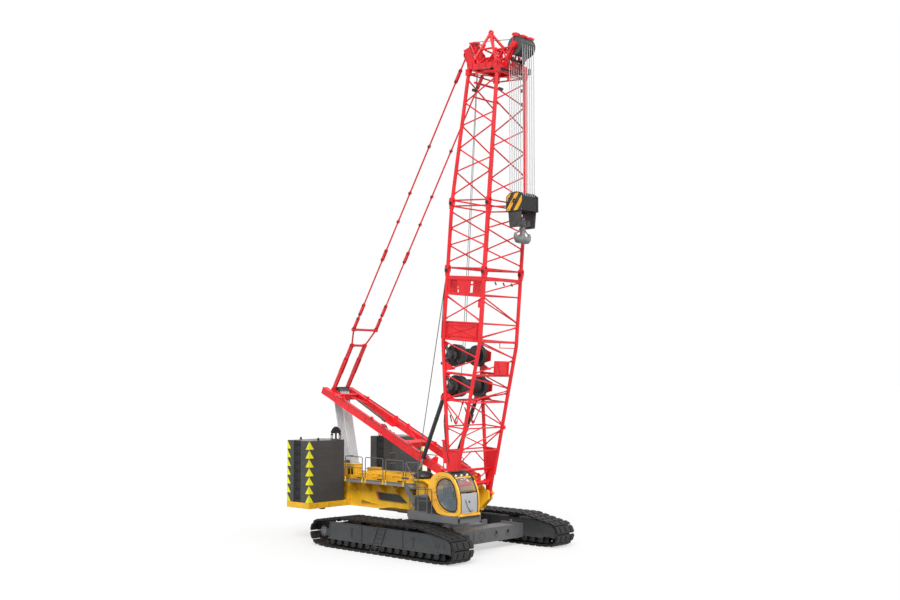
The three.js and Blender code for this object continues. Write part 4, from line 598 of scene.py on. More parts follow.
kit = Kit()
for x in (-1, 1):
    face = x * 2.5
    for y in (-1.75, -0.95, 0.95, 1.75):
        kit.lathe([(0.09, 0), (0.15, 0), (0.15, x * 0.03), (0.09, x * 0.03)], (face, y, 0.72), "x", 24)
    kit.box(*span(x, 0, 0.02, face), -0.55, 0.55, 0.44, 0.86)
    kit.bolts((face, 0, 0.65), 0.18, 10, 0.02, x * 0.015, x * 0.05, "x")
    for y in (-2.35, 2.35):
        kit.box(*span(x, 0, -0.9, face), y - 0.05, y + 0.05, 0.95, 1.06)
        kit.bar((face - x * 0.3, y, 0.9), (face - x * 0.3, y, 1.16), 0.06, 16)
for y in (-1, 1):
    for x in (-1.5, -0.5, 0.5, 1.5):
        kit.plate(wedge(x, 0.03, 0.03, 0.95, 1.2), y * 1.1, y * 1.45)
kit.bolts((0, 0, 1.26), 1.13, 40, 0.02, 0.0, 0.04, "z")
make("carbody_detail", kit, GREY, "undercarriage", bevel=0.006)
# black discs inside the rings on both ends of the carbody: painted shade in the holes
kit = Kit()
for x in (-1, 1):
    for y in (-1.75, -0.95, 0.95, 1.75):
        kit.disc((x * 2.5, y, 0.72), 0.092, x * 0.002, x * 0.012, "x")
make("carbody_hole_shade", kit, BLACK, "undercarriage")


# ---------- counterweights ----------
def stack(side):
    name = "left" if side > 0 else "right"
    low, high, count = 1.8303, 4.73, 7
    step = (high - low) / count
    y0, y1 = 1.59, 3.77
    kit, caps, marks = Kit(), Kit(), Kit()

    def outline(x0, x1, a, b, notch=0.10, c=0.02):
        """Seen from above: a slab with a notch in its outer and its inner side."""
        p = [(x0 + c, a), (-6.15, a), (-6.14, a + notch), (-5.63, a + notch), (-5.62, a), (x1 - c, a),
             (x1, a + c), (x1, b - c), (x1 - c, b), (-5.62, b), (-5.63, b - notch), (-6.14, b - notch),
             (-6.15, b), (x0 + c, b), (x0, b - c), (x0, a + c)]
        return [(x, side * y) for x, y in p]
    for i in range(count):
        z = low + i * step
        kit.plate(outline(-6.63, -4.99, y0, y1), z + 0.002, z + step - 0.006, "xy")
        kit.plate(outline(-6.62, -5.00, y0 + 0.01, y1 - 0.01, 0.09), z + step - 0.008,
                  z + step + 0.005 if i < 6 else z + step - 0.006, "xy")
        for x in (-6.63, -4.99):
            s = 1 if x > -6 else -1
            e, t = 0.004, 0.27
            top = z + step - 0.012
            marks.plate([(side * y1 + side * e, z + 0.01), (side * (y1 - t), z + 0.01),
                         (side * y1 + side * e, top)], x, x + s * e, "yz")
            marks.plate([(x + s * e, z + 0.01), (x - s * t, z + 0.01), (x + s * e, top)], side * y1,
                        side * (y1 + e))
    for x in (-6.3, -5.3):
        for y in (2.1, 3.25):
            kit.bar((x, side * y, high - 0.012), (x, side * y, high), 0.06, 12)
    make(f"counterweight_slabs_{name}", kit, SLAB, "superstructure", bevel=0.012,
         replaces=[f"counterweight_stack_{name}"])
    make(f"counterweight_marks_{name}", marks, MARK, "superstructure")
    # a paler sheet over the top slab: painted light on the top of the stack
    caps.plate(outline(-6.61, -5.01, y0 + 0.02, y1 - 0.02, 0.11), high - 0.011, high - 0.002, "xy")
    make(f"counterweight_lit_top_{name}", caps, SLAB_LIT_TOP, "superstructure")
    kit = Kit()
    for y, out in ((y1, 1), (y0, -1)):
        kit.box(-6.145, -5.625, *span(side, y - out * 0.10, y - out * 0.04), low + 0.02, high - 0.02)
        for z in np.arange(low + 0.2, high, step):
            for x in (-6.02, -5.75):
                tube_ring(kit, x, z, side * (y - out * 0.04), side * (y - out * 0.01), 0.045, 0.10, 16)
            kit.box(-6.13, -5.64, *span(side, y - out * 0.04, y - out * 0.015), z + 0.17, z + 0.22)
    # lifting bracket over the slabs, with its shackles and the small lugs beside it
    cx, cy = (-5.95, 1.86) if side > 0 else (-5.20, -1.96)
    kit.box(cx - 0.12, cx + 0.12, cy - 0.12, cy + 0.12, high - 0.002, high + 0.03)
    kit.box(cx - 0.035, cx + 0.035, cy - 0.035, cy + 0.035, high, high + 0.34)
    fan = [(-0.24, 0.30), (0.24, 0.30), (0.30, 0.36), (0.19, 0.52), (0.06, 0.62), (-0.06, 0.62),
           (-0.19, 0.52), (-0.30, 0.36)]
    for x in (-0.055, 0.025):
        kit.plate([(cy + a, high + b) for a, b in fan], cx + x, cx + x + 0.03, "yz")
    for y in (-0.25, 0.25):
        ring = [(cx, cy + y + 0.055 * math.sin(a), high + 0.13 + 0.11 * math.cos(a)) for a in np.linspace(0,
                2 * math.pi, 12, endpoint=False)]
        kit.sweep(ring, 0.022, closed=True)
        kit.bar((cx - 0.07, cy + y, high + 0.26), (cx + 0.07, cy + y, high + 0.26), 0.035)
    for x, y in ((-5.15, 3.1), (-6.45, 3.1), (-5.15, 2.0)):
        kit.plate(wedge(x, 0.09, 0.03, high - 0.01, high + 0.13), side * y - 0.02, side * y + 0.02)
    make(f"counterweight_lifting_gear_{name}", kit, DEEP_BLACK, "superstructure", bevel=0.005)


for side in (-1, 1):
    stack(side)

kit = Kit()
for y in (-3.4, -2.6, -1.5, 1.5, 2.6, 3.4):
    kit.box(-4.985, -4.96, y - 0.05, y + 0.05, 1.58, 1.82)
for y in (-3.77, 3.77):
    s = 1 if y > 0 else -1
    for x in (-6.2, -5.8, -5.4):
        kit.box(x - 0.04, x + 0.04, min(y, y + s * 0.02), max(y, y + s * 0.02), 1.6, 1.8)
kit.box(-6.655, -6.63, -3.6, 3.6, 1.60, 1.64)
kit.box(-6.655, -6.63, -3.6, 3.6, 1.77, 1.81)
make("tray_ribs", kit, YELLOW, "superstructure", bevel=0.005)
kit = Kit()
for y in (-2.7, 2.7):
    kit.lathe([(0.01, 1.47), (0.13, 1.47), (0.15, 1.50), (0.12, 1.56), (0.01, 1.56)], (-5.3, y, 0), "z", 20)
    kit.box(-5.42, -5.18, y - 0.12, y + 0.12, 1.53, 1.565)
make("tray_feet", kit, BLACK, "superstructure")


# ---------- superstructure ----------
kit, dark = Kit(), Kit()
for s in (-1, 1):
    y = s * 1.18
    for x0, x1, z0, z1 in ((-4.95, 1.2, 1.56, 1.60), (-4.85, -0.2, 2.68, 2.72), (-6.55, -4.9, 2.70, 2.75)):
        kit.box(x0, x1, *span(s, 0, 0.05, y), z0, z1)
    for x in (-4.3, -3.45, 0.55, 0.95):
        kit.box(x - 0.015, x + 0.015, *span(s, 0, 0.045, y), 1.60, 2.70)
    # pressed recess and the low rear bracket
    rim(kit, [(-4.21, 1.66), (-2.88, 1.72), (-4.21, 1.92)], 0.03, *sorted((y - s * 0.004, y + s * 0.02)))
    kit.box(-5.30, -4.995, *span(s, 0, 0.12, y), 1.84, 2.08)
    # brackets under the walkway
    for x in (-4.5, -3.5, -2.5, -1.54, -0.5):
        kit.plate([(s * 1.18, 2.25), (s * 1.21, 2.25), (s * 1.70, 2.68), (s * 1.70, 2.735),
                   (s * 1.18, 2.735)], x - 0.012, x + 0.012, "yz")
    kit.sweep([(-1.88, s * 1.5, 2.72), (-1.54, s * 1.5, 2.55), (-1.21, s * 1.5, 2.72)], 0.03)
    # round stiffening bosses by the boom foot
    for x, z, r in ((0.95, 1.95, 0.12), (1.3, 2.3, 0.10), (-5.6, 2.3, 0.16)):
        tube_ring(kit, x, z, *span(s, 0, 0.03, y), r * 0.55, r)
    tube_ring(kit, FOOT_X, FOOT_Z, *span(s, 1.396, 1.43), 0.082, 0.15)
    for x in (1.62, 1.98):
        kit.bar((x, s * 1.39, 2.42), (x, s * 1.43, 2.42), 0.03, 8)
    tube_ring(kit, 1.45, 3.19, *span(s, 0.98, 1.01), 0.05, 0.10)
    for x in (-6.45, -5.0):
        kit.box(x - 0.02, x + 0.02, *span(s, 0.42, 1.16), 2.755, 3.0)
make("turntable_ribs", kit, YELLOW, "superstructure", bevel=0.005)

# a darker yellow sheet over each pressed recess: painted shade in the recess
kit = Kit()
for s in (-1, 1):
    kit.plate([(-4.19, 1.68), (-2.92, 1.725), (-4.19, 1.90)], *span(s, 1.181, 1.183))
make("recess_painted_shade", kit, PAINTED_SHADE_YELLOW, "superstructure")

# hood: lids, slots, handles, the step box behind and the round intake dome in front; the slots are black
# strips, painted shade in the openings
kit, dark = Kit(), Kit()
for s in (-1, 1):
    kit.box(-4.82, 0.22, *span(s, 0.975, 1.0), 2.735, 2.96)
    kit.box(-4.82, 0.22, *span(s, 0.92, 1.01), 2.96, 2.985)
    kit.bar((-4.78, s * 0.9, 3.10), (-1.2, s * 0.9, 3.10), 0.028, 8)
    for x in (-4.78, -4.18, -3.58, -2.98, -2.38, -1.78, -1.2):
        kit.bar((x, s * 0.9, 2.95), (x, s * 0.9, 3.10), 0.028, 8)
    for x in (-4.48, -3.28, -2.08):
        kit.plate([(x - 0.20, 2.98), (x + 0.22, 2.98), (x + 0.10, 3.08), (x - 0.06, 3.08)],
                  *span(s, 0.86, 0.88))
    # black strips where the slots are: painted shade inside them
    for x0 in (-4.7, -3.3, -1.9):
        dark.box(x0, x0 + 0.5, *span(s, 1.0, 1.006), 2.80, 2.90)
kit.boxes((-4.82, -4.79, -1, 1, 2.735, 2.96), (0.19, 0.22, -1, 1, 2.735, 2.96),
          (-4.8, 0.2, -0.97, 0.97, 2.92, 2.94), (-1.15, 0.15, -0.9, 0.9, 2.94, 3.14),
          (-4.5, -3.7, -0.3, 0.5, 2.94, 3.18), (-3.3, -2.6, -0.7, 0.0, 2.94, 3.12))
for x0, x1 in ((-4.78, -3.58), (-3.58, -2.38), (-2.38, -1.2)):
    kit.bar((x0, -0.9, 3.10), (x0, 0.9, 3.10), 0.026, 8)
    kit.bar((x0, -0.9, 3.09), (x1, 0.9, 3.09), 0.022, 8)
for x in (-4.1, -2.95):
    kit.sweep([(x - 0.25, -0.6, 2.94), (x - 0.2, -0.6, 3.14), (x + 0.2, -0.6, 3.14), (x + 0.25, -0.6, 2.94)],
              0.025)
kit.boxes((-5.6, -5.0, -0.9, -0.45, 2.76, 3.48), (-5.6, -5.0, 0.45, 0.9, 2.76, 3.25),
          (-5.62, -4.98, -0.92, -0.43, 3.48, 3.51), (-0.7, 0.15, -0.9, -0.2, 3.14, 3.18))
for z in (2.95, 3.1, 3.25):
    kit.box(-5.61, -4.99, -0.905, -0.895, z, z + 0.02)
make("hood_panels", kit, YELLOW, "superstructure", bevel=0.006, replaces=["machinery_hood"])
# narrow black slots on the step box: painted shade
for s in (-1, 1):
    for x in (-5.2, -5.42):
        dark.box(x - 0.06, x + 0.06, -0.915, -0.905, 3.0, 3.3)
make("hood_slot_shade", dark, BLACK, "superstructure")
kit = Kit()
x, y = -0.09, -1.1
kit.lathe([(0.01, 3.10), (0.20, 3.10), (0.20, 3.16), (0.44, 3.18), (0.48, 3.22), (0.47, 3.27), (0.40, 3.36),
           (0.27, 3.43), (0.12, 3.46), (0.01, 3.46)], (x, y, 0), "z", 36)
kit.bar((x, y, 2.85), (x, y, 3.14), 0.14, 20)
kit.bar((-1.35, 0.55, 3.2), (-1.35, 0.55, 3.75), 0.10, 20)
kit.sweep([(-1.35, 0.55, 3.72), (-1.36, 0.55, 3.84), (-1.46, 0.55, 3.94), (-1.60, 0.55, 3.97)], 0.085, 16)
make("intake_dome", kit, BLACK, "superstructure")
kit = Kit()
# flared housing under the dome, and the sheet that curves from it towards the cab
kit.lathe([(0.02, 1.95), (0.34, 1.95), (0.36, 2.75), (0.44, 2.98), (0.58, 3.06), (0.60, 3.12), (0.02, 3.14)],
          (-0.05, -1.12, 0), "z", 40)
arc = [(0.30 + 0.62 * math.sin(a), 2.42 + 0.66 * math.cos(a)) for a in np.linspace(0.0, math.radians(80), 9)]
inner = [(0.30 + 0.58 * math.sin(a), 2.42 + 0.62 * math.cos(a)) for a in np.linspace(math.radians(80), 0.0,
        9)]
kit.plate(arc + inner, -1.55, -1.20)
make("front_cover", kit, YELLOW, "superstructure")

# walkway rails
kit, low = Kit(), Kit()
for s in (-1, 1):
    y = s * 1.70
    for x0, x1 in ((-4.78, -3.58), (-3.36, -2.15), (-1.96, -0.79)) if s < 0 else ((-4.78, -3.2),
            (-3.0, -1.5), (-1.3, -0.2)):
        top = 3.95 if x0 < -2 else 3.91
        kit.sweep([(x0, y, 2.84), (x0, y, top - 0.05), (x0 + 0.05, y, top), (x1 - 0.05, y, top),
                   (x1, y, top - 0.05), (x1, y, 2.84)], 0.021, 10)
        kit.bar((x0, y, 3.43), (x1, y, 3.43), 0.017)
        for x in (x0, x1):
            low.bar((x, y, 2.78), (x, y, 2.98), 0.03)
            low.box(x - 0.05, x + 0.05, *sorted((y - s * 0.01, y + s * 0.022)), 2.745, 2.86)
    for z in (3.95, 3.43):
        kit.bar((-4.78, y, z), (-4.78, s * 1.2, z), 0.021)
kit.sweep([(-0.63, -1.70, 2.84), (-0.63, -1.70, 3.82), (-0.58, -1.70, 3.87), (0.12, -1.70, 3.87),
           (0.17, -1.70, 3.82), (0.17, -1.70, 2.4)], 0.021, 10)
kit.bar((-0.63, -1.70, 3.43), (0.17, -1.70, 3.43), 0.017)
kit.bar((-0.60, -1.70, 3.84), (0.0, -1.70, 2.95), 0.017)
# stairs from the walkway down to the cab platform, and the short ladder below
for y in (-1.75, -1.24):
    kit.plate([(-0.70, 2.78), (-0.18, 2.02), (0.30, 1.66), (0.46, 1.66), (0.06, 2.14), (-0.48, 2.85),
               (-0.70, 2.85)], y - 0.012, y + 0.012)
for i in range(6):
    x = -0.52 + i * 0.145
    kit.box(x - 0.02, x + 0.16, -1.74, -1.24, 2.68 - i * 0.185, 2.71 - i * 0.185)
for x in (0.05, 0.25):
    kit.bar((x, -1.77, 2.15), (x - 0.32, -1.80, 1.66), 0.018, 8)
for i in range(4):
    kit.bar((0.03 - 0.08 * i, -1.78, 2.08 - 0.12 * i), (0.23 - 0.08 * i, -1.78, 2.08 - 0.12 * i), 0.014, 8)
# rail and side strip along the cab platform
kit.sweep([(1.57, -3.09, 1.86), (1.57, -3.09, 2.84), (1.62, -3.09, 2.90), (2.34, -3.09, 2.93),
           (2.39, -3.09, 2.88), (2.39, -3.09, 1.86)], 0.021, 10)
kit.bar((2.12, -3.09, 1.86), (2.12, -3.09, 2.92), 0.018)
kit.bar((1.57, -3.09, 2.40), (2.39, -3.09, 2.42), 0.016)
kit.sweep([(1.57, -3.09, 2.88), (1.02, -3.05, 2.88), (0.97, -3.0, 2.88), (0.97, -2.1, 2.88),
           (0.97, -2.05, 2.83), (0.97, -2.05, 1.86)], 0.021, 10)
kit.bar((1.02, -3.06, 1.86), (1.02, -3.06, 2.88), 0.018)
for x0 in (2.3, 3.0):
    kit.sweep([(x0, -3.0, 1.62), (x0, -3.06, 1.55), (x0 + 0.5, -3.06, 1.55), (x0 + 0.5, -3.0, 1.62)], 0.018)
make("walkway_rails", kit, RAIL, "superstructure")
make("rail_feet", low, YELLOW, "superstructure")

# name plate left bare, with one slanting bar
kit, slash = Kit(), Kit()
for s in (-1, 1):
    a, b = span(s, 1.236, 1.246)
    kit.plate([(-2.84, 1.98), (-0.99, 1.95), (-1.52, 2.29), (-2.98, 2.32)], a, b)
    slash.plate([(-2.95, 1.98), (-2.86, 1.98), (-3.00, 2.33), (-3.12, 2.33)], a, b)
make("name_plate_bare", kit, BLACK, "superstructure", bevel=0.004)
make("name_plate_bar", slash, SLASH, "superstructure", bevel=0.004)
kit = Kit()
kit.box(0.15, 0.50, -2.16, -1.86, 1.56, 1.59)
make("white_step", kit, LAMP, "superstructure", bevel=0.006)
kit = Kit()
for s in (-1, 1):
    for x in (-2.5, -1.5):
        kit.box(x - 0.04, x + 0.04, *span(s, 1.18, 1.238), 2.05, 2.2)
kit.boxes((-2.2, 1.2, -1.9, -1.2, 1.62, 1.66), (-0.9, 0.5, -1.95, -1.22, 1.60, 1.64))
for x in (-2.0, -1.2, -0.4):
    kit.bar((x, -1.2, 1.64), (x, -1.85, 1.64), 0.03, 8)
make("plate_holders", kit, BLACK, "superstructure")

# locker louvres and doors under the cab; the gaps between the louvre blades are dark strips, painted shade
kit, dark = Kit(), Kit()
# dark strips for the gaps between the louvre blades: painted shade
for i in range(12):
    x = 1.17 + i * 0.06
    dark.box(x, x + 0.028, -2.895, -2.88, 1.94, 2.52)
for i in range(14):
    y = -2.84 + i * 0.07
    dark.box(1.135, 1.15, y, y + 0.035, 1.94, 2.52)
kit.boxes((1.14, 1.91, -2.89, -1.83, 2.555, 2.585), (0.98, 3.94, -3.12, -2.955, 1.80, 1.87),
          (0.98, 3.94, -3.12, -3.10, 1.58, 1.80), (0.84, 0.86, -2.95, -1.70, 1.62, 1.86))
for x in (1.2, 1.9, 2.6, 3.3):
    kit.box(x - 0.02, x + 0.02, -2.985, -2.96, 1.60, 1.88)
make("platform_trim", kit, GREY, "superstructure", bevel=0.004)
make("louvre_gap_shade", dark, BLACK, "superstructure")

# rear winch: rope on the drum and the sheave bracket's stiffeners
kit = Kit()
wound_rope(kit, -5.75, 2.46, -0.50, 0.50, (0.21, 0.262, 0.27, 0.252), 0.0137, 36)
make("luffing_winch_rope", kit, DRUM_ROPE, "luff_winch_rotor")
kit = Kit()
for s in (-1, 1):
    for x0, x1 in ((-6.44, -6.36), (-6.20, -6.12)):
        kit.plate([(x0, 2.82), (x1, 2.82), (x1 + 0.02, 3.38), (x0 + 0.06, 3.38)], *span(s, 0.40, 0.44))
    tube_ring(kit, -6.28, 3.33, *span(s, 0.40, 0.43), 0.05, 0.12)
make("luffing_bracket_ribs", kit, YELLOW, "superstructure", bevel=0.004)


# ---------- boom ----------
RIGHT, REAR, LEFT, FRONT = (((-1, -1), (1, -1)), ((-1, 1), (-1, -1)), ((1, 1), (-1, 1)), ((1, -1), (1, 1)))
FACES = (RIGHT, REAR, LEFT, FRONT)
CORNERS = ((-1, -1), (-1, 1), (1, -1), (1, 1))
FOOT_END, TOP_START, TOP_END = 10.05, 13.08, 19.08


def corner(u, ahead, left):
    t = max(0.0, (u - TOP_START) / (TOP_END - TOP_START))
    depth = 0.11 + 0.99 * u / 6.8 if u < 6.8 else 1.10 - 0.25 * t
    return np.array([ahead * depth, left * (1.25 - 0.30 * t), u])


def half_depth(u):
    return corner(u, 1, 1)[0]


def braces(kit, us, faces=FACES):
    for face in faces:
        for i in range(1, len(us)):
            p, q = corner(us[i - 1], *face[(i - 1) % 2]), corner(us[i], *face[i % 2])
            kit.bar(p, q, 0.034)
            sleeves(kit, p, q, 0.06, 0.15, 0.045, 10)


def ties(kit, us, faces=FACES, r=0.036):
    for u in us:
        for a, b in faces:
            kit.bar(corner(u, *a), corner(u, *b), r)


def chords(kit, u0, u1):
    for ahead, left in CORNERS:
        kit.bar(corner(u0, ahead, left), corner(u1, ahead, left), 0.085, 18)


def cross_ties(kit, u):
    kit.bar(corner(u, -1, -1), corner(u, 1, 1), 0.026, 8)
    kit.bar(corner(u, -1, 1), corner(u, 1, -1), 0.026, 8)


def tongues(kit, u, up):
    """Chord ends: one tongue at a section's top, two cheeks at the foot of the next."""
    for ahead, left in CORNERS:
        v, y, _ = corner(u, ahead, left)
        near, far = (u - 0.11, u + 0.22) if up else (u + 0.11, u - 0.22)
        shape = [(v - 0.075, near), (v + 0.075, near), (v + 0.11, u), (v + 0.10, far), (v - 0.10, far),
                 (v - 0.11, u)]
        spans = ((0.055, 0.095), (-0.095, -0.055)) if up else ((-0.05, 0.05),)
        for a, b in spans:
            kit.plate(shape, y + a, y + b)
        kit.bar((v, y, far - (0.03 if up else -0.03)), (v, y, far + (0.03 if up else -0.03)), 0.112, 18)


def chord_pins(u):
    kit = Kit(LEAN)
    for ahead, left in CORNERS:
        v, y, _ = corner(u, ahead, left)
        kit.bar((v, y - 0.135, u), (v, y + 0.135, u), 0.05, 14)
        for s in (-1, 1):
            kit.bar((v, y + s * 0.10, u), (v, y + s * 0.125, u), 0.08, 14)
    return kit


def on(face, s, u):
    """A point on a face of the lattice: s runs across it from -1 to 1."""
    d, w, _ = corner(u, 1, 1)
    return {"near": (s * d, -w, u), "far": (s * d, w, u), "front": (d, s * w, u),
            "rear": (-d, s * w, u)}[face]


kit = Kit(LEAN)
chords(kit, 0.9, 6.82)
chords(kit, 6.78, FOOT_END - 0.15)
tongues(kit, FOOT_END, False)
THIN, STRONG = 0.032, 0.055
for faces, us, r in ((("near", "front", "rear", "far"), (7.75, 4.25, 3.09, 2.04), THIN),
                     (("near", "front", "far"), (5.47,), STRONG),
                     (("near", "front", "rear"), (6.98,), STRONG), (("front", "far"), (9.02,), THIN),
                     (("far",), (6.98, 9.75), THIN)):
    for face in faces:
        for u in us:
            kit.bar(on(face, -1, u), on(face, 1, u), r)
STRUTS = (("front", -1, 9.10, 1, 9.70), ("front", -1, 8.96, 1, 7.84), ("front", -1, 7.15, 1, 7.66),
          ("front", -1, 6.89, 1, 6.25), ("front", 1, 6.18, -1, 5.56), ("front", -1, 5.34, 1, 4.87),
          ("front", 1, 4.78, -1, 4.34), ("front", -1, 4.18, 1, 3.18), ("front", 1, 2.98, -1, 2.10),
          ("near", -1, 8.95, 1, 7.85), ("near", -1, 7.85, 1, 8.88), ("near", -1, 6.88, 1, 6.25),
          ("near", 1, 6.16, -1, 5.54), ("near", -1, 5.40, 1, 4.87), ("near", 1, 4.79, -1, 4.30),
          ("near", -1, 4.16, 1, 3.20), ("near", 1, 3.04, -1, 2.10), ("far", -1, 8.79, 1, 7.84),
          ("far", -1, 7.05, 1, 7.68), ("far", -1, 6.88, 1, 6.25), ("far", 1, 6.16, -1, 5.54),
          ("far", -1, 5.40, 1, 4.87), ("far", 1, 4.66, -1, 4.30), ("far", -1, 4.16, 1, 3.20),
          ("far", 1, 2.98, -1, 2.16), ("rear", -1, 3.02, 1, 2.10), ("rear", -1, 4.10, -0.5, 3.14),
          ("rear", -0.5, 3.14, -0.06, 4.18), ("rear", 0.06, 4.18, 0.4, 3.14), ("rear", 0.4, 3.14, 1, 4.10),
          ("rear", -1, 8.9, 1, 7.84), ("rear", 1, 2.98, -0.2, 2.56))
for face, a, u0, b, u1 in STRUTS:
    e, t = np.array(on(face, a, u0)), np.array(on(face, b, u1))
    kit.bar(e, t, THIN if face != "rear" else 0.026)
    sleeves(kit, e, t, 0.06, 0.17, 0.046, 10)
for u in (4.25, 6.98, 9.75):
    cross_ties(kit, u)
for s in (-1, 1):
    y = s * 1.25
    low, high = half_depth(0.9), half_depth(2.1)
    leg = [(-0.085, -0.06), (0.085, -0.06), (0.125, 0.06), (low, 0.9), (high, 2.1), (-high, 2.1),
           (-low, 0.9), (-0.125, 0.06)]
    kit.plate(leg, y - 0.022, y + 0.022)
    rim(kit, leg, 0.055, y - 0.06, y + 0.06)
    tube_ring(kit, 0, 0, y - 0.06, y + 0.06, 0.081, 0.165)
    kit.bar((-0.12, y, 1.0), (0.25, y, 1.95), 0.03, 8)
    kit.boxes((-0.06, 0.06, *((y - 0.2, y) if s > 0 else (y, y + 0.2)), 0.42, 0.64))
    for u, v in WINCHES:
        d = half_depth(u)
        a, b = span(s, 1.17, 1.20)
        cheek = [(-d, u - 0.42), (v + 0.42, u - 0.20), (v + 0.42, u + 0.20), (-d, u + 0.42)]
        if s > 0:
            rim(kit, cheek, 0.045, a - 0.01, b + 0.01)
            kit.plate(cheek, a, b)
        lo, hi = half_depth(u - 0.70), half_depth(u - 0.30)
        kit.plate([(-lo, u - 0.70), (v + 0.45, u - 0.60), (-hi, u - 0.26)], a - 0.03, b + 0.03)
        lo = half_depth(u + 0.25)
        kit.plate([(-lo, u + 0.20), (-lo + 0.24, u + 0.56), (-lo, u + 0.62)], a - 0.03, b + 0.03)
        kit.bar((v, s * 0.76, u), (v, s * 1.2, u), 0.074, 16)
    # backstop bracket on the rear chord
    back, up = STOP_X - FOOT_X, STOP_Z - FOOT_Z
    v = back * math.cos(TILT) - up * math.sin(TILT)
    u = back * math.sin(TILT) + up * math.cos(TILT)
    d = half_depth(u)
    bracket = [(v - 0.09, u - 0.09), (v + 0.06, u - 0.09), (-d + 0.06, u + 0.08), (-d + 0.06, u + 0.42),
               (-d - 0.06, u + 0.38), (v - 0.09, u + 0.09)]
    for e in (1.12 - 0.103, 1.12 + 0.063):
        kit.plate(bracket, *span(s, e, e + 0.04))
    kit.box(-d - 0.07, -d + 0.06, *span(s, 1.02, 1.25), u + 0.15, u + 0.38)
    kit.bar((v, s * 1.0, u), (v, s * 1.24, u), 0.044, 16)
    kit.bar((v, s * 1.222, u), (v, s * 1.245, u), 0.075, 16)
    # lugs on the front chords
    kit.plate([(half_depth(3.1) + 0.04, 2.98), (half_depth(3.1) + 0.17, 3.02),
               (half_depth(3.1) + 0.17, 3.16), (half_depth(3.1) + 0.04, 3.22)], y - 0.05, y + 0.05)
# plated panel on the right side, with a shallow cross pressed in it, and its edge flanges
y = -1.25
kit.box(-1.1, 1.1, y - 0.015, y + 0.015, 6.95, 7.76)
rim(kit, [(-0.89, 7.12), (0.90, 7.14), (0.90, 7.66), (-0.89, 7.64)], 0.03, y - 0.05, y - 0.01)
for z0, z1 in ((7.16, 7.62), (7.62, 7.16)):
    kit.bar((-0.85, y - 0.012, z0), (0.86, y - 0.012, z1), 0.030, 8)
for v0, v1 in ((-1.16, -1.14), (-0.96, -0.93), (0.94, 0.97)):
    kit.box(v0, v1, y - 0.075, y, 6.95, 7.77)
kit.boxes((-1.16, -0.95, y - 0.078, y - 0.066, 6.95, 7.77), (-1.1, 1.1, y - 0.06, y + 0.05, 7.74, 7.78),
          (-1.1, 1.1, y - 0.06, y + 0.05, 6.94, 6.98))
for v in (-0.75, 0.78):
    kit.bar((v, y - 0.04, 7.05), (v, y - 0.08, 7.05), 0.03)
# bracket behind the lower end of the right rear chord
kit.plate([(-0.40, 1.45), (-0.55, 1.42), (-0.70, 2.45), (-0.47, 2.50)], -1.32, -1.29)
kit.plate([(-0.40, 1.45), (-0.55, 1.42), (-0.70, 2.45), (-0.47, 2.50)], -1.20, -1.17)
kit.boxes((-0.74, -0.45, -1.33, -1.15, 2.40, 2.46), (-0.62, -0.40, -1.30, -1.18, 1.9, 2.0),
          (-0.58, -0.38, -1.30, -1.18, 1.5, 1.58))
kit.bar((0, -1.25, 0.53), (0, 1.25, 0.53), 0.095, 20)
kit.bar((0, -1.25, 1.15), (0, 1.25, 1.15), 0.06, 14)
for s in (-1, 1):
    kit.bar((0, s * 0.55, 0.58), (0, s * -0.1, 1.12), 0.03, 8)
    kit.bar((0, s * 0.25, 0.6), (0, s * 1.2, 1.12), 0.03, 8)
    kit.bar((0, s * 1.2, 1.18), (0, s * 0.1, 2.0), 0.026, 8)
    kit.boxes((-0.13, 0.13, *span(s, 0.98, 1.02), 0.40, 0.66),
              (-0.10, 0.10, *span(s, 0.45, 0.48), 0.42, 0.64))
# the upper box: two deep beams round it, pierced plates across the rear and a shaped plate on the right side
for z0, z1 in ((8.96, 9.09), (9.65, 9.82)):
    kit.boxes((-1.1, 1.1, -1.29, -1.21, z0, z1), (-1.14, -1.06, -1.25, 1.25, z0, z1))
kit.box(1.06, 1.14, -1.25, 1.25, 9.67, 9.82)
for y0, y1 in ((-1.12, -0.52), (0.52, 1.12)):
    kit.box(-1.105, -1.095, y0, y1, 9.05, 9.70)
    for k in range(4):
        y = y0 + 0.03 + k * (y1 - y0 - 0.06) / 3
        kit.box(-1.13, -1.09, y - 0.02, y + 0.02, 9.05, 9.70)
    for u in (9.16, 9.32, 9.48, 9.62):
        kit.box(-1.13, -1.09, y0, y1, u - 0.015, u + 0.015)
kit.plate([(-0.30, 9.06), (0.34, 9.06), (0.38, 9.70), (-0.48, 9.70)], -1.262, -1.238)
for v in (-0.30, -0.05, 0.20):
    kit.bar((v, -1.27, 9.62), (v, -1.235, 9.62), 0.035)
kit.bar((-0.9, -1.2, 9.12), (0.9, -1.2, 9.58), THIN, 8)
kit.boxes((-0.98, -0.93, -1.28, -1.2, 9.05, 9.7), (0.55, 0.60, -1.26, -1.2, 9.05, 9.7),
          (0.86, 1.0, -1.24, -1.20, 8.45, 8.80))
# small plated box and a step rail on the front face
kit.plate([(-0.01, 5.50), (0.94, 5.50), (0.80, 6.13), (-0.02, 6.13)], 0.99, 1.0, "yz")
kit.plate([(0.36, 5.54), (0.52, 5.54), (0.68, 6.1), (0.16, 6.1)], 1.0, 1.02, "yz")
for y in (0.0, 0.88):
    kit.box(0.94, 1.05, y - 0.02, y + 0.02, 5.52, 6.12)
kit.sweep([(1.1, 0.10, 6.95), (1.1, 0.12, 6.72), (1.1, 1.2, 6.72)], 0.022)
make("boom_foot_lattice", kit, RED, "boom", replaces=["boom_foot_section"])

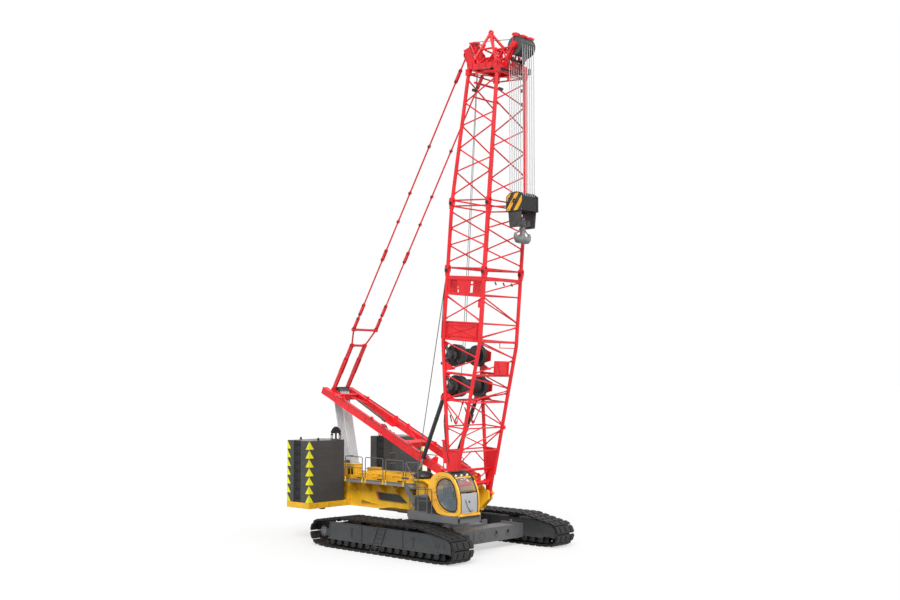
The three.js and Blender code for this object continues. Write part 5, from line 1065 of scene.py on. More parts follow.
kit = Kit(LEAN)
chords(kit, FOOT_END + 0.15, TOP_START - 0.15)
tongues(kit, FOOT_END, True)
tongues(kit, TOP_START, False)
bays = [FOOT_END + 0.38 + i * (TOP_START - FOOT_END - 0.76) / 3 for i in range(4)]
braces(kit, bays)
ties(kit, (FOOT_END + 0.13, TOP_START - 0.13))
cross_ties(kit, FOOT_END + 0.13)
make("boom_insert_lattice", kit, RED, "boom", replaces=["boom_insert_section"])

kit = Kit(LEAN)
chords(kit, TOP_START + 0.15, TOP_END - 0.1)
tongues(kit, TOP_START, True)
braces(kit, [TOP_START + 0.38 + i * (TOP_END - TOP_START - 0.76) / 5 for i in range(6)])
ties(kit, (TOP_START + 0.13, TOP_END - 0.13))
cross_ties(kit, TOP_END - 0.13)
for ahead, left in CORNERS:
    v, y, _ = corner(TOP_END, ahead, left)
    kit.box(v - 0.11, v + 0.11, y - 0.10, y + 0.10, TOP_END - 0.2, TOP_END)
for y, u in ((0.75, 18.35), (-0.2, 18.75), (0.86, 17.75)):
    kit.plate([(0.84, u - 0.09), (0.99, u - 0.06), (0.99, u + 0.06), (0.84, u + 0.09)], y - 0.03, y + 0.03)
for u, r in ((18.55, 0.05), (17.9, 0.04)):
    kit.bar((-0.5, -0.9, u), (-0.5, 0.9, u), r, 12)
make("boom_top_lattice", kit, RED, "boom", replaces=["boom_top_section"])

kit = Kit(LEAN)
for u in (FOOT_END, TOP_START):
    part = chord_pins(u)
    kit.verts += part.verts
    kit.faces += [[i + kit.count for i in f] for f in part.faces]
    kit.count += part.count
for y in (-0.5, 0.05, 0.6):
    kit.bar((1.12, y, 9.62), (1.20, y, 9.50), 0.035)
for y, u in ((-0.86, 18.2), (0.88, 18.6)):
    kit.bar((-0.5, y - 0.12, u), (-0.5, y + 0.12, u), 0.07, 12)
make("boom_pins", kit, BLACK, "boom")

# winch ends: brake and motor housings with their hose stubs, on the near end of each drum
kit = Kit(LEAN)
for u, v in ((6.25, -0.76), (4.87, -0.56)):
    for s in (-1, 1):
        kit.lathe([(0.03, s * 0.84), (0.24, s * 0.84), (0.24, s * 0.93), (0.15, s * 0.98), (0.15, s * 1.12),
                   (0.03, s * 1.12)], (v, 0, u), "y", 24)
        kit.bolts((v, 0, u), 0.2, 12, 0.018, s * 0.92, s * 0.95)
    tube_ring(kit, v, u, -1.215, -1.145, 0.07, 0.17)
    d = half_depth(u)
    for z, w in ((0.42, 0.06), (-0.42, 0.06)):
        kit.bar((v, -1.18, u), (-d + 0.05, -1.18, u + z), w)
    kit.bar((v - 0.05, -1.12, u - 0.05), (-d - 0.10, -1.18, u - 0.10), 0.06, 12)
    kit.bar((v - 0.05, -1.12, u - 0.20), (-d - 0.16, -1.18, u - 0.42), 0.07, 12)
make("winch_drives", kit, DRUM_GREY, "boom")
# short dark lines hanging inside the foot
kit = Kit(LEAN)
for y0, u0, y1, u1 in ((-1.0, 3.57, -0.87, 3.27), (-0.56, 3.47, -0.67, 3.26), (-0.07, 3.9, 0.11, 3.57),
                       (0.55, 3.56, 0.45, 3.3)):
    d = half_depth(3.5)
    kit.bar((-d, y0, u0), (-d, y1, u1), 0.028, 8)
make("foot_lines", kit, BLACK, "boom")
for name, u, v in (("upper", 6.25, -0.76), ("lower", 4.87, -0.56)):
    kit, rope = Kit(LEAN), Kit(LEAN)
    for s in (-1, 1):
        tube_ring(kit, v, u, s * 0.815, s * 0.835, 0.455, 0.505, 40)
        for k in range(8):
            a = 2 * math.pi * k / 8
            kit.bar((v + 0.26 * math.cos(a), s * 0.825, u + 0.26 * math.sin(a)),
                    (v + 0.47 * math.cos(a), s * 0.825, u + 0.47 * math.sin(a)), 0.022, 8)
    make(f"hoist_drum_ribs_{name}", kit, DRUM_GREY, f"hoist_rotor_{name}")
    # gear rings beside the flanges
    kit = Kit(LEAN)
    kit.lathe([(0.31, -0.775), (0.495, -0.775), (0.495, -0.70), (0.485, -0.69), (0.485, -0.50),
               (0.47, -0.46), (0.31, -0.46)], (v, 0, u), "y", 48)
    kit.lathe([(0.31, 0.775), (0.495, 0.775), (0.495, 0.72), (0.48, 0.71), (0.48, 0.60), (0.31, 0.60)],
              (v, 0, u), "y", 48)
    for k in range(20):
        a = 2 * math.pi * k / 20
        kit.bar((v + 0.40 * math.cos(a), -0.46, u + 0.40 * math.sin(a)),
                (v + 0.40 * math.cos(a), -0.445, u + 0.40 * math.sin(a)), 0.018, 8)
    make(f"hoist_drum_gear_{name}", kit, BLACK, f"hoist_rotor_{name}")
    wound_rope(rope, v, u, -0.455, 0.595, (0.30, 0.308, 0.315, 0.302), 0.0147, 40)
    make(f"hoist_drum_rope_{name}", rope, DRUM_ROPE, f"hoist_rotor_{name}")

# ---------- boom head ----------
kit, z0 = Kit(LEAN), TOP_END + 0.06
base = half_depth(TOP_END) + 0.06
wide = 0.95 + 0.06
for s in (-1, 1):
    for ahead in (-1, 1):
        v, y = ahead * 0.85, s * 0.95
        kit.box(v - 0.11, v + 0.11, y - 0.11, y + 0.11, TOP_END, z0 + 0.02)
    for a, b, c in ((0.0, 0.02, 0.18), (0.20, 0.22, 0.18), (0.02, 0.20, 0.02)):
        kit.box(-base, base, *span(s, wide, wide - c), z0 + a, z0 + b)
        kit.boxes((*span(s, base, base - c), -wide, wide, z0 + a, z0 + b))
    for v in (-0.6, -0.2, 0.2, 0.6):
        kit.box(v - 0.012, v + 0.012, *span(s, wide, wide - 0.16), z0 + 0.01, z0 + 0.21)
    # sheave cheek, its opening and edge bar
    a, b = span(s, 0.456, 0.526)
    mid = (a + b) / 2
    # arm up to the shaft, and the braced frame behind it
    arm = [(0.66, z0 + 0.02), (0.98, z0 + 0.04), (1.41, 19.92), (1.47, 20.12), (1.27, 20.16), (1.12, 19.90)]
    kit.plate(arm, a + 0.01, b - 0.01)
    rim(kit, arm, 0.035, a, b)
    for p, q, r in (((1.29, 20.06), (0.30, 20.02), 0.05), ((0.30, 20.02), (-0.25, z0 + 0.30), 0.05),
                    ((0.30, 20.02), (0.72, z0 + 0.1), 0.045), ((0.72, 20.03), (0.30, z0 + 0.1), 0.045),
                    ((0.72, 20.03), (1.0, z0 + 0.25), 0.04), ((-0.25, z0 + 0.30), (0.72, z0 + 0.1), 0.045),
                    ((-0.25, z0 + 0.42), (-0.25, z0 + 0.02), 0.05)):
        kit.bar((p[0], mid, p[1]), (q[0], mid, q[1]), r)
    for v, u in ((0.30, 20.02), (0.72, 20.03)):
        kit.plate([(v - 0.11, u - 0.12), (v + 0.11, u - 0.12), (v + 0.11, u + 0.04), (v, u + 0.13),
                   (v - 0.11, u + 0.04)], a, b)
        kit.bar((v, a - 0.02, u), (v, b + 0.02, u), 0.05, 12)
    tube_ring(kit, HEAD_V, HEAD_U, *span(s, 0.456, 0.55), 0.076, 0.17)
    # pendant cheeks
    for e in (0.624, 0.806):
        c, d = span(s, e, e + 0.05)
        shape = [(-0.9, z0 + 0.04), (-0.6, z0 + 0.04), (-0.7, z0 + 0.5), (-1.11, 20.02), (-1.29, 20.01),
                 (-1.34, 19.85)]
        kit.plate(shape, c + 0.01, d - 0.01)
        rim(kit, shape, 0.035, c, d)
    kit.bar((-1.23, s * 0.62, 19.91), (-1.23, s * 0.87, 19.91), 0.045, 16)
    for e in (0.615, 0.865):
        kit.bar((-1.23, s * e, 19.91), (-1.23, s * (e + 0.02), 19.91), 0.09, 16)
    # rear cheeks with the guide sheave's shaft
    c, d = span(s, 0.066, 0.116)
    shape = [(-0.88, z0 + 0.04), (-0.5, z0 + 0.04), (-0.9, z0 + 0.9), (-1.4, 20.58), (-1.6, 20.55),
             (-1.62, 20.34), (-1.05, z0 + 0.42)]
    kit.plate(shape, c + 0.01, d - 0.01)
    rim(kit, shape, 0.05, c, d)
    tube_ring(kit, -1.5, 20.4, c, d + 0.01, 0.045, 0.1)
    # A-frame legs to the ring eye
    for v in (0.79, -0.83):
        kit.bar((v, s * 0.92, z0 + 0.15), (-0.51, s * 0.06, 20.94), 0.065, 16)
        kit.box(v - 0.14, v + 0.14, *span(s, 0.80, 0.98), z0 + 0.18, z0 + 0.34)
    kit.bar((0.14, s * 0.49, z0 + 1.0), (-0.67, s * 0.49, z0 + 1.0), 0.045, 12)
    kit.bar((-0.67, s * 0.49, z0 + 1.0), (-0.95, s * 0.12, z0 + 1.15), 0.04, 12)
    # side bracket at the rear corner, with its eye
    kit.plate([(-0.9, z0 + 0.25), (-0.55, z0 + 0.25), (-0.95, z0 + 1.05), (-1.30, z0 + 0.95)],
              s * 0.905 - 0.02, s * 0.905 + 0.02)
    kit.bar((-0.85, s * 0.5, z0 + 0.3), (0.1, s * 0.5, z0 + 0.3), 0.05, 12)
    kit.bar((0.45, s * 0.5, z0 + 0.25), (1.0, s * 0.37, z0 + 0.62), 0.04, 12)
    for v in (-0.3, 0.3):
        kit.bar((v, s * 0.37, z0 + 0.3), (v, s * 0.9, z0 + 0.2), 0.035)
tube_ring(kit, -0.51, 21.0, -0.05, 0.05, 0.062, 0.12)
kit.box(-0.60, -0.42, -0.11, 0.11, 20.78, 20.92)
kit.bar((HEAD_V, -0.55, HEAD_U), (HEAD_V, 0.55, HEAD_U), 0.074, 20)
for v, u in ((0.30, 20.02), (0.72, 20.03), (-0.25, z0 + 0.3), (0.72, z0 + 0.3)):
    kit.bar((v, -0.5, u), (v, 0.5, u), 0.035)
for y in (-0.9, -0.45, 0.0, 0.45, 0.9):
    kit.bar((-0.85, y * 0.9, z0 + 0.1), (0.85, -y * 0.6, z0 + 0.12), 0.03, 8)
for v in (-0.62, -0.2, 0.25):
    kit.bar((v, -0.9, z0 + 0.12), (v + 0.12, -0.3, z0 + 0.62), 0.035, 8)
    kit.bar((v, 0.9, z0 + 0.12), (v + 0.12, 0.3, z0 + 0.62), 0.035, 8)
kit.bar((-0.62, -0.32, z0 + 0.62), (0.45, -0.32, z0 + 0.62), 0.04)
kit.bar((-0.62, 0.32, z0 + 0.62), (0.45, 0.32, z0 + 0.62), 0.04)
for y in (-0.2, 0.2):
    kit.bar((-0.95, y, z0 + 0.35), (-1.62, y, 20.62), 0.035, 8)
    kit.bar((-1.55, y, z0 + 0.55), (-1.0, y, 20.55), 0.035, 8)
    kit.bar((-1.62, y, 20.62), (-1.0, y, 20.55), 0.03, 8)
kit.bar((-1.5, -0.16, 20.4), (-1.5, 0.16, 20.4), 0.05, 16)
for v, u in ((-0.2, z0 + 0.72), (0.15, z0 + 0.95)):
    kit.plate(wedge(v, 0.16, 0.08, u - 0.4, u + 0.12), -0.03, 0.03)
    kit.bar((v, -0.12, u), (v, 0.12, u), 0.07, 14)
for v, u in ((0.5, z0 + 0.14), (0.0, z0 + 0.14)):
    kit.bar((v, -0.95, u), (v, 0.95, u), 0.045, 12)
make("boom_head_frame", kit, RED, "boom", replaces=["boom_head"])

kit = Kit(LEAN)
# guards over the sheaves, the hub arm and the low rope rollers
for u, v in ((20.60, 1.27), (20.52, 1.63)):
    kit.bar((v, -0.50, u), (v, 0.50, u), 0.03)
for s in (-1, 1):
    for y in (0.47, 0.02):
        kit.plate([(1.21, 20.55), (1.37, 20.52), (1.65, 20.48), (1.65, 20.58), (1.47, 20.66), (1.33, 20.68),
                   (1.19, 20.66)], *span(s, y, y + 0.03))
    kit.bar((1.27, s * 0.485, 20.12), (1.27, s * 0.485, 20.6), 0.028, 8)
    kit.lathe([(0.02, s * 0.55), (0.14, s * 0.55), (0.14, s * 0.60), (0.07, s * 0.62), (0.02, s * 0.62)],
              (HEAD_V, 0, HEAD_U), "y", 24)
    kit.bar((1.34, s * 0.56, 20.10), (1.04, s * 0.56, 19.55), 0.06, 12, 0.08)
make("head_guards", kit, RED, "boom")
kit = Kit(LEAN)
for v, u, w in ((0.75, z0 - 0.02, 0.8), (0.35, z0 - 0.02, 0.8), (1.05, 19.55, 0.45)):
    kit.bar((v, -w, u), (v, w, u), 0.05, 14)
for s in (-1, 1):
    kit.bar((1.25, s * 0.40, 19.62), (1.18, s * 0.40, 19.42), 0.04)
    kit.bar((-1.23, s * 0.885, 19.91), (-1.23, s * 0.60, 19.91), 0.05, 12)
make("head_rollers", kit, BLACK, "boom")
kit = Kit(LEAN)
for s in (-1, 1):
    kit.lathe([(0.16, s * 0.451), (0.40, s * 0.451), (0.415, s * 0.4545), (0.16, s * 0.4545)],
              (HEAD_V, 0, HEAD_U), "y", 40)
    kit.bolts((HEAD_V, 0, HEAD_U), 0.25, 10, 0.015, s * 0.452, s * 0.4555)
sheave_rims(kit, HEAD_V, HEAD_U, 0.15, 0.008, 0.405, 0.424, 48)
make("head_sheave_rims", kit, SHEAVE_RIM, "head_rotor")


# ---------- mast ----------
kit = Kit(LAY)
for s in (-1, 1):
    y, w = s * 0.83, 0.15
    for a, b in ((0.155, 0.165), (-0.165, -0.155)):
        kit.box(a, b, y - w, y + w, 0.6, 9.7)
    for e in (-1, 1):
        kit.box(-0.156, 0.156, *sorted((y + e * 0.118, y + e * 0.132)), 0.6, 9.7)
    kit.boxes((-0.165, 0.165, y - w, y + w, 9.68, 9.70), (-0.165, 0.165, y - w, y + w, 0.60, 0.62))
    for l in (1.35, 2.6, 4.9, 6.2, 7.5, 8.6):
        kit.box(-0.16, 0.16, y - 0.148, y + 0.148, l - 0.012, l + 0.012)
    shank = [(0.09, 0.0), (0.165, 0.62), (-0.165, 0.62), (-0.09, 0.0)]
    kit.plate(shank, y - 0.03, y + 0.03)
    rim(kit, shank, 0.04, y - 0.09, y + 0.09)
    tube_ring(kit, 0, 0, y - 0.09, y + 0.09, 0.081, 0.16)
    # lugs on the upper face, and lifting eyes
    for l in (2.2, 3.0, 5.0, 5.9, 8.2):
        kit.plate([(0.16, l - 0.13), (0.29, l - 0.06), (0.29, l + 0.06), (0.16, l + 0.13)], y - 0.025,
                  y + 0.025)
    kit.plate([(0.16, 1.2), (0.42, 1.25), (0.42, 1.42), (0.16, 1.62)], y - s * 0.12 - 0.02,
              y - s * 0.12 + 0.02)
    # cheeks of the sheaves and of the pendants
    kit.plate([(0.14, 8.85), (0.11, 9.51), (-0.11, 9.51), (-0.14, 8.85)], *span(s, 0.306, 0.342))
    tube_ring(kit, 0, 9.35, *span(s, 0.30, 0.365), 0.055, 0.12)
    shape = [(0.14, 8.85), (0.21, 9.39), (0.21, 9.56), (0.03, 9.57), (-0.12, 9.42), (-0.12, 8.85)]
    kit.plate(shape, *span(s, 0.490, 0.522))
    rim(kit, shape, 0.035, *span(s, 0.486, 0.526))
    for v0, v1 in ((3.65, 4.6), (8.79, 8.0)):
        kit.bar((0, s * 0.25, (v0 + 3.35) / 2 if v0 < 5 else 8.8), (0, s * 0.74, v1), 0.05)
for l0, l1, h in ((3.35, 3.65, 0.12), (8.79, 8.93, 0.14)):
    kit.boxes((h - 0.012, h, -0.80, 0.80, l0, l1), (-h, -h + 0.012, -0.80, 0.80, l0, l1))
    kit.boxes((-h, h, -0.80, 0.80, l0, l0 + 0.014), (-h, h, -0.80, 0.80, l1 - 0.014, l1))
kit.bar((0, -0.36, 9.35), (0, 0.36, 9.35), 0.06, 20)
kit.bar((0.02, -0.80, 9.60), (0.02, 0.80, 9.60), 0.05, 14)
kit.box(-0.15, -0.08, 0.40, 0.70, 5.62, 6.45)
make("mast_legs", kit, RED, "mast", bevel=0.006, replaces=["mast_frame"])
kit = Kit(LAY)
for s in (-1, 1):
    for l in (1.9, 2.6, 3.3, 4.6, 5.3):
        kit.bar((0.18, s * 0.70, l), (0.20, s * 0.70, l), 0.03, 8)
    kit.sweep([(0.18, s * 0.92, 0.8), (0.185, s * 0.92, 4.4), (0.185, s * 0.92, 8.6)], 0.018)
kit.bar((0.0, 0.45, 9.10), (-0.12, 0.45, 6.35), 0.055, 14)
kit.bar((-0.12, 0.45, 6.45), (-0.12, 0.45, 6.2), 0.075, 14)
make("mast_struts", kit, DULL_BROWN, "mast")
kit = Kit(LAY)
sheave_rims(kit, 0, 9.35, 0.1, 0.005, 0.285, 0.303, 40)
for s in (-1, 1):
    tube_ring(kit, 0, 9.35, s * 0.3005, s * 0.303, 0.1, 0.27, 36)
make("mast_sheave_rims", kit, SHEAVE_RIM, "mast_rotor")

# ---------- pendants ----------
LOWER = [at(LAY, 0.12, s * 0.43, 9.48) for s in (-1, 1)]
UPPER = [at(LEAN, -1.23, s * 0.74, 19.91) for s in (-1, 1)]
kit, dark = Kit(), Kit()


def link(kit, low, high, a, wide, thick):
    """A flat link with round ends between two points, set off sideways by a."""
    axis = (high - low) / np.linalg.norm(high - low)
    up = np.cross(axis, (0, 1.0, 0))
    up /= np.linalg.norm(up)
    across = np.cross(up, axis)
    span = np.linalg.norm(high - low)
    ends = [(-wide * math.cos(k), wide * math.sin(k)) for k in np.linspace(-1.4, 1.4, 7)]
    ends += [(span + wide * math.cos(k), -wide * math.sin(k)) for k in np.linspace(-1.4, 1.4, 7)]
    kit.place = rows((axis[0], across[0], up[0], low[0]), (axis[1], across[1], up[1], low[1]),
                     (axis[2], across[2], up[2], low[2]))
    kit.plate(ends, a - thick, a + thick)
    kit.place = np.eye(4)


SPREAD = (2.60, 3.50)
for s, low, high in zip((-1, 1), LOWER, UPPER):
    reach = high - low
    reach[1] = 0
    length = np.linalg.norm(reach)
    reach /= length

    def on(t, a=0.0, s=s, low=low, reach=reach):
        wide = 0.43 + 0.31 * min(max((t - SPREAD[0]) / (SPREAD[1] - SPREAD[0]), 0), 1)
        return np.array((low[0], s * wide + a, low[2])) + reach * t

    # pairs of pierced plates by the mast, then bars coupled by short links
    for t0, t1, a in ((0.0, 0.32, 0.03), (0.32, 1.02, 0.040), (1.02, 1.80, 0.055), (1.80, 2.60, 0.03)):
        for e in (-a, a):
            link(kit, on(t0), on(t1), e, 0.105, 0.013)
        for k in (0.3, 0.5, 0.7):
            for e in (-a - 0.013, a + 0.013):
                dark.bar(on(t0 + (t1 - t0) * k, e - 0.002), on(t0 + (t1 - t0) * k, e + 0.002), 0.035, 12)
    for t0, t1 in ((3.60, 4.12), (4.38, 4.88), (7.41, 7.89), (16.66, 17.19)):
        for e in (-0.035, 0.035):
            link(kit, on(t0), on(t1), e, 0.07, 0.013)
    for t in (0.32, 1.02, 1.80, 2.60, 3.60, 4.12, 4.38, 4.88, 7.41, 7.89, 9.47, 10.98, 13.4, 16.66, 17.19):
        wide = 0.062 if t < 9 or t > 16 else 0.055
        pin = 0.05 if t < 1.1 else 0.08
        dark.bar(on(t, -pin), on(t, pin), wide * 0.8, 12)
        kit.bar(on(t - 0.10), on(t + 0.10), wide, 12)
    kit.bar(on(SPREAD[0]), on(SPREAD[1]), 0.042, 12)
    for t0, t1 in ((3.5, 4.38), (4.88, 7.41), (7.89, 16.66), (17.19, length)):
        kit.bar(on(t0), on(t1), 0.038, 12)
    tube_ring(kit, high[0], high[2], high[1] - 0.058, high[1] + 0.058, 0.0465, 0.095)
    dark.bar(low - (0, 0.055, 0), low + (0, 0.055, 0), 0.06, 16)
    tube_ring(kit, low[0], low[2], low[1] - 0.05, low[1] + 0.05, 0.058, 0.095)
for t, wide in zip(SPREAD, (0.43, 0.74)):
    p, q = ((LOWER[i] * (1, 0, 1) + (0, e * wide, 0)) + (UPPER[i] - LOWER[i]) * (1, 0, 1) / length * t for i,
            e in ((0, -1), (1, 1)))
    kit.bar(p, q, 0.060, 16)
    sleeves(kit, p, q, -0.08, 0.12, 0.088, 16)
make("pendant_links", kit, RED, "pendant_set", replaces=["pendants"])
make("pendant_pins", dark, BLACK, "pendant_set")

# ---------- backstops ----------
TOP, FOOT = np.array((STOP_X, 0, STOP_Z)), np.array((-0.44, 0, 3.27))
axis = (FOOT - TOP) / np.linalg.norm(FOOT - TOP)
for name, s in (("left", 1), ("right", -1)):
    kit = Kit()

    def stop(t, s=s):
        return TOP + axis * t + (0, s * 1.12, 0)
    for t, w in ((0.16, 0.06), (1.05, 0.05), (2.0, 0.05), (2.93, 0.12)):
        kit.bar(stop(t), stop(t + w), 0.104, 20)
    kit.bar(stop(0.3) + (0.1, 0, 0.045), stop(2.8) + (0.1, 0, 0.045), 0.014, 8)
    make(f"backstop_bands_{name}", kit, BLACK, f"stop_barrel_{name}")
    kit = Kit()
    end = np.linalg.norm(FOOT - TOP)
    kit.bar(stop(end - 0.26), stop(end - 0.06), 0.062, 18)
    kit.bar(stop(end) - (0, 0.048, 0), stop(end) + (0, 0.048, 0), 0.078, 20)
    make(f"backstop_foot_{name}", kit, BLACK, f"stop_rod_{name}")

# ---------- hook block ----------
X, Z = 4.9184, 15.40
kit, edge, inner, lower, shade = Kit(), Kit(), Kit(), Kit(), Kit()
for s in (-1, 1):
    cheek = [(X - 0.47, Z - 0.45), (X + 0.47, Z - 0.45), (X + 0.47, Z + 0.22), (X + 0.25, Z + 0.38),
             (X - 0.25, Z + 0.38), (X - 0.47, Z + 0.22)]
    kit.plate(inset(cheek, 0.035), *span(s, 0.515, 0.545))
    edge.plate(cheek, *span(s, 0.457, 0.52))
    rim(edge, cheek, 0.032, *span(s, 0.51, 0.548))
    inner.bolts((X, 0, Z), 0.16, 8, 0.022, s * 0.54, s * 0.552)
    tube_ring(inner, X, Z, s * 0.54, s * 0.552, 0.02, 0.11, 24)
    for x in (-0.34, 0.34):
        for z in (-0.36, 0.15):
            inner.bar((X + x, s * 0.54, Z + z), (X + x, s * 0.552, Z + z), 0.028)
    low = wedge(X, 0.38, 0.30, Z - 0.43, Z - 1.15)
    lower.plate(low[::-1], *span(s, 0.457, 0.505))
    rim(lower, low[::-1], 0.035, *span(s, 0.453, 0.512))
    tube_ring(lower, X, Z - 0.95, s * 0.506, s * 0.535, 0.02, 0.12, 24)
    # round guards over the sheaves
    tube_ring(shade, X, Z, s * 0.30, s * 0.452, 0.385, 0.40, 40)
    tube_ring(shade, X, Z, s * 0.451, s * 0.456, 0.02, 0.40, 40)
    for x in (-0.40, 0.40):
        edge.bar((X + x, -0.46, Z - 0.40), (X + x, 0.46, Z - 0.40), 0.035, 12)
        edge.bar((X + x * 0.9, -0.46, Z + 0.20), (X + x * 0.9, 0.46, Z + 0.20), 0.03, 12)
for x in (-0.455, 0.455):
    edge.box(*sorted((X + x, X + x * 0.97)), -0.46, 0.46, Z - 0.44, Z + 0.20)
edge.bar((X, -0.50, Z), (X, 0.50, Z), 0.074, 20)
lower.lathe([(0.0765, Z - 1.08), (0.19, Z - 1.08), (0.19, Z - 0.82), (0.0765, Z - 0.82)], (X, 0, 0), "z", 28)
for y0, y1 in ((-0.46, -0.14), (0.14, 0.46)):
    lower.box(X - 0.17, X + 0.17, y0, y1, Z - 1.07, Z - 0.83)
make("hook_block_stripes", kit, STRIPES, "block", replaces=["hook_block"])
make("hook_block_edges", edge, DEEP_BLACK, "block", bevel=0.004)
make("hook_block_bolts", inner, BLACK, "block")
make("hook_block_guards", shade, SHEAVE_RIM, "block")
make("hook_block_lower", lower, HOOK_GREY, "block", bevel=0.006)
kit = Kit()
sheave_rims(kit, X, Z, 0.15, 0.008, 0.405, 0.424, 48)
make("block_sheave_rims", kit, SHEAVE_RIM, "block_rotor")

# double hook, thick in the middle and tapering to its two points
kit = Kit()
for s in (-1, 1):
    path = [(0.0, -1.50), (0.07, -1.62), (0.19, -1.68), (0.31, -1.675), (0.41, -1.60), (0.47, -1.49),
            (0.475, -1.37)]
    kit.sweep([(X, s * y, Z + z) for y, z in path], [0.12, 0.15, 0.165, 0.16, 0.125, 0.085, 0.035], 18)
    kit.bar((X, s * 0.11, Z - 1.20), (X, s * 0.40, Z - 1.42), 0.028, 8)
    kit.bar((X, s * 0.08, Z - 1.19), (X, s * 0.16, Z - 1.235), 0.05)
kit.sweep([(X, 0, Z - 1.85), (X, 0, Z - 1.80), (X, 0, Z - 1.66), (X, 0, Z - 1.46), (X, 0, Z - 1.2)],
          [0.05, 0.10, 0.15, 0.12, 0.085], 20)
kit.bar((X, 0, Z - 1.25), (X, 0, Z - 0.74), 0.074, 24)
kit.lathe([(0.05, Z - 0.819), (0.13, Z - 0.819), (0.13, Z - 0.72), (0.11, Z - 0.70), (0.05, Z - 0.70)],
          (X, 0, 0), "z", 6)
kit.lathe([(0.05, Z - 1.23), (0.13, Z - 1.23), (0.13, Z - 1.13), (0.05, Z - 1.13)], (X, 0, 0), "z", 24)
make("double_hook", kit, HOOK_PALE, "hook", angle=50, replaces=["ramshorn_hook"])

# ---------- ropes ----------
HEAD = at(LEAN, HEAD_V, 0, HEAD_U)


def fall(kit, low, high, r):
    """A straight rope whose points all lie at its two ends."""
    kit.bar(low, high, r, 6)


kit = Kit()
for i in range(6):
    y = -0.375 + i * 0.15
    for x in (-0.385, 0.385):
        fall(kit, (X + x, y, Z + 0.02), (HEAD[0] + x, y, HEAD[2]), 0.017)
start, end = Vector((HEAD[0] + SLEW_X, 0, HEAD[2] - 0.01)), Vector((X + SLEW_X, 0, Z + 0.03))
make("hoist_falls", kit, ROPE, "block", blend=("hoist_line", "block", start, end))

SH, MH = np.array((-6.28, 0, 3.33)), at(LAY, 0, 0, 9.35)
kit = Kit()
d = (MH - SH) / np.linalg.norm(MH - SH)
n = np.array((d[2], 0, -d[0]))
for i in range(6):
    y = -0.25 + i * 0.1
    for e in (-0.27, 0.27):
        fall(kit, SH + n * e + (0, y, 0), MH + n * e + (0, y, 0), 0.040)
off = Vector((SLEW_X, 0, 0))
make("luffing_falls", kit, ROPE_PALE, "superstructure", blend=("superstructure", "mast",
                                                               Vector(SH) + off + Vector(d) * 0.02,
                                                               Vector(MH) + off - Vector(d) * 0.02))
kit = Kit()
kit.bar((-6.0, 0.32, 3.42), (-5.52, 0.40, 2.58), 0.015, 8)
make("luffing_winch_line", kit, ROPE, "superstructure")

# the slack-free line from the turntable up to the boom's rear chord
kit = Kit()
low, high = np.array((-0.34, -1.27, 3.31)), at(LEAN, -1.13, -1.27, 9.95)
fall(kit, low, high, 0.020)
d = (high - low) / np.linalg.norm(high - low)
make("boom_angle_line", kit, ROPE_DARK, "superstructure",
     blend=("superstructure", "boom", Vector(low + d * 0.03) + off, Vector(high - d * 0.03) + off))

# winch lines inside the boom, up to the guide sheave and over to the head sheaves
kit = Kit(LEAN)
for (u, v), y in zip(WINCHES, (0.22, -0.12)):
    kit.bar((v - 0.33, y, u), (-1.24, y * 0.1, 20.28), 0.014, 8)
arc = [(-1.5 + 0.29 * math.cos(a), 0, 20.4 + 0.29 * math.sin(a)) for a in np.linspace(math.radians(-20),
        math.radians(80), 10)]
kit.sweep(arc + [(1.33, 0.1, 20.535)], 0.014)
make("winch_lines", kit, ROPE_DARK, "boom")
kit = Kit(LEAN)
# hose and cable down the rear chord
kit.sweep([(-0.66, -1.33, 3.6), (-0.62, -1.36, 3.2), (-0.5, -1.36, 2.6), (-0.42, -1.34, 2.2),
           (-0.3, -1.3, 1.7), (-0.16, -1.22, 1.1), (-0.15, -1.1, 0.7)], 0.022)
kit.sweep([(-1.16, -1.32, 9.4), (-1.17, -1.33, 8.0), (-1.16, -1.33, 7.0)], 0.016)
make("boom_hoses", kit, BLACK, "boom")


# ---------- cab ----------
CAB_OUT, CAB_IN = -3.0, -1.74


def rounded(points, cuts=2):
    """A closed loop with its corners cut off again and again."""
    pts = [np.array(p, float) for p in points]
    for _ in range(cuts):
        pts = [q for a, b in zip(pts, pts[1:] + pts[:1]) for q in (0.78 * a + 0.22 * b, 0.22 * a + 0.78 * b)]
    return pts


def spokes(points, centre, count=72):
    """Where rays from the centre cross a loop."""
    out, c = [], np.array(centre)
    for k in range(count):
        a = 2 * math.pi * k / count
        d = np.array([math.cos(a), math.sin(a)])
        best = 0
        for p, q in zip(points, points[1:] + points[:1]):
            m = np.array([d, p - q]).T
            if abs(np.linalg.det(m)) > 1e-12:
                t, s = np.linalg.solve(m, p - c)
                if -1e-9 <= s <= 1 + 1e-9 and t > best:
                    best = t
        out.append(c + d * best)
    return out


def band(kit, outer, inner, a, b, closed=False):
    """A strip of even section between two matching lines in side view."""
    n = len(outer)
    verts = [(p[0], y, p[1]) for o, i in zip(outer, inner) for p, y in ((o, a), (o, b), (i, b), (i, a))]
    faces = [[4 * i + k, 4 * i + (k + 1) % 4, 4 * ((i + 1) % n) + (k + 1) % 4, 4 * ((i + 1) % n) + k]
             for i in range(n if closed else n - 1) for k in range(4)]
    if not closed:
        faces += [[3, 2, 1, 0], [4 * n - 4 + k for k in range(4)]]
    kit.add(verts, faces)


def runs(points, test):
    """Stretches of a closed line that pass a test."""
    n, out, run = len(points), [], []
    start = next(i for i in range(n) if not test(points[i]))
    for k in range(n + 1):
        i = (start + k) % n
        if test(points[i]):
            run.append(i)
        elif run:
            out.append(run)
            run = []
    return out


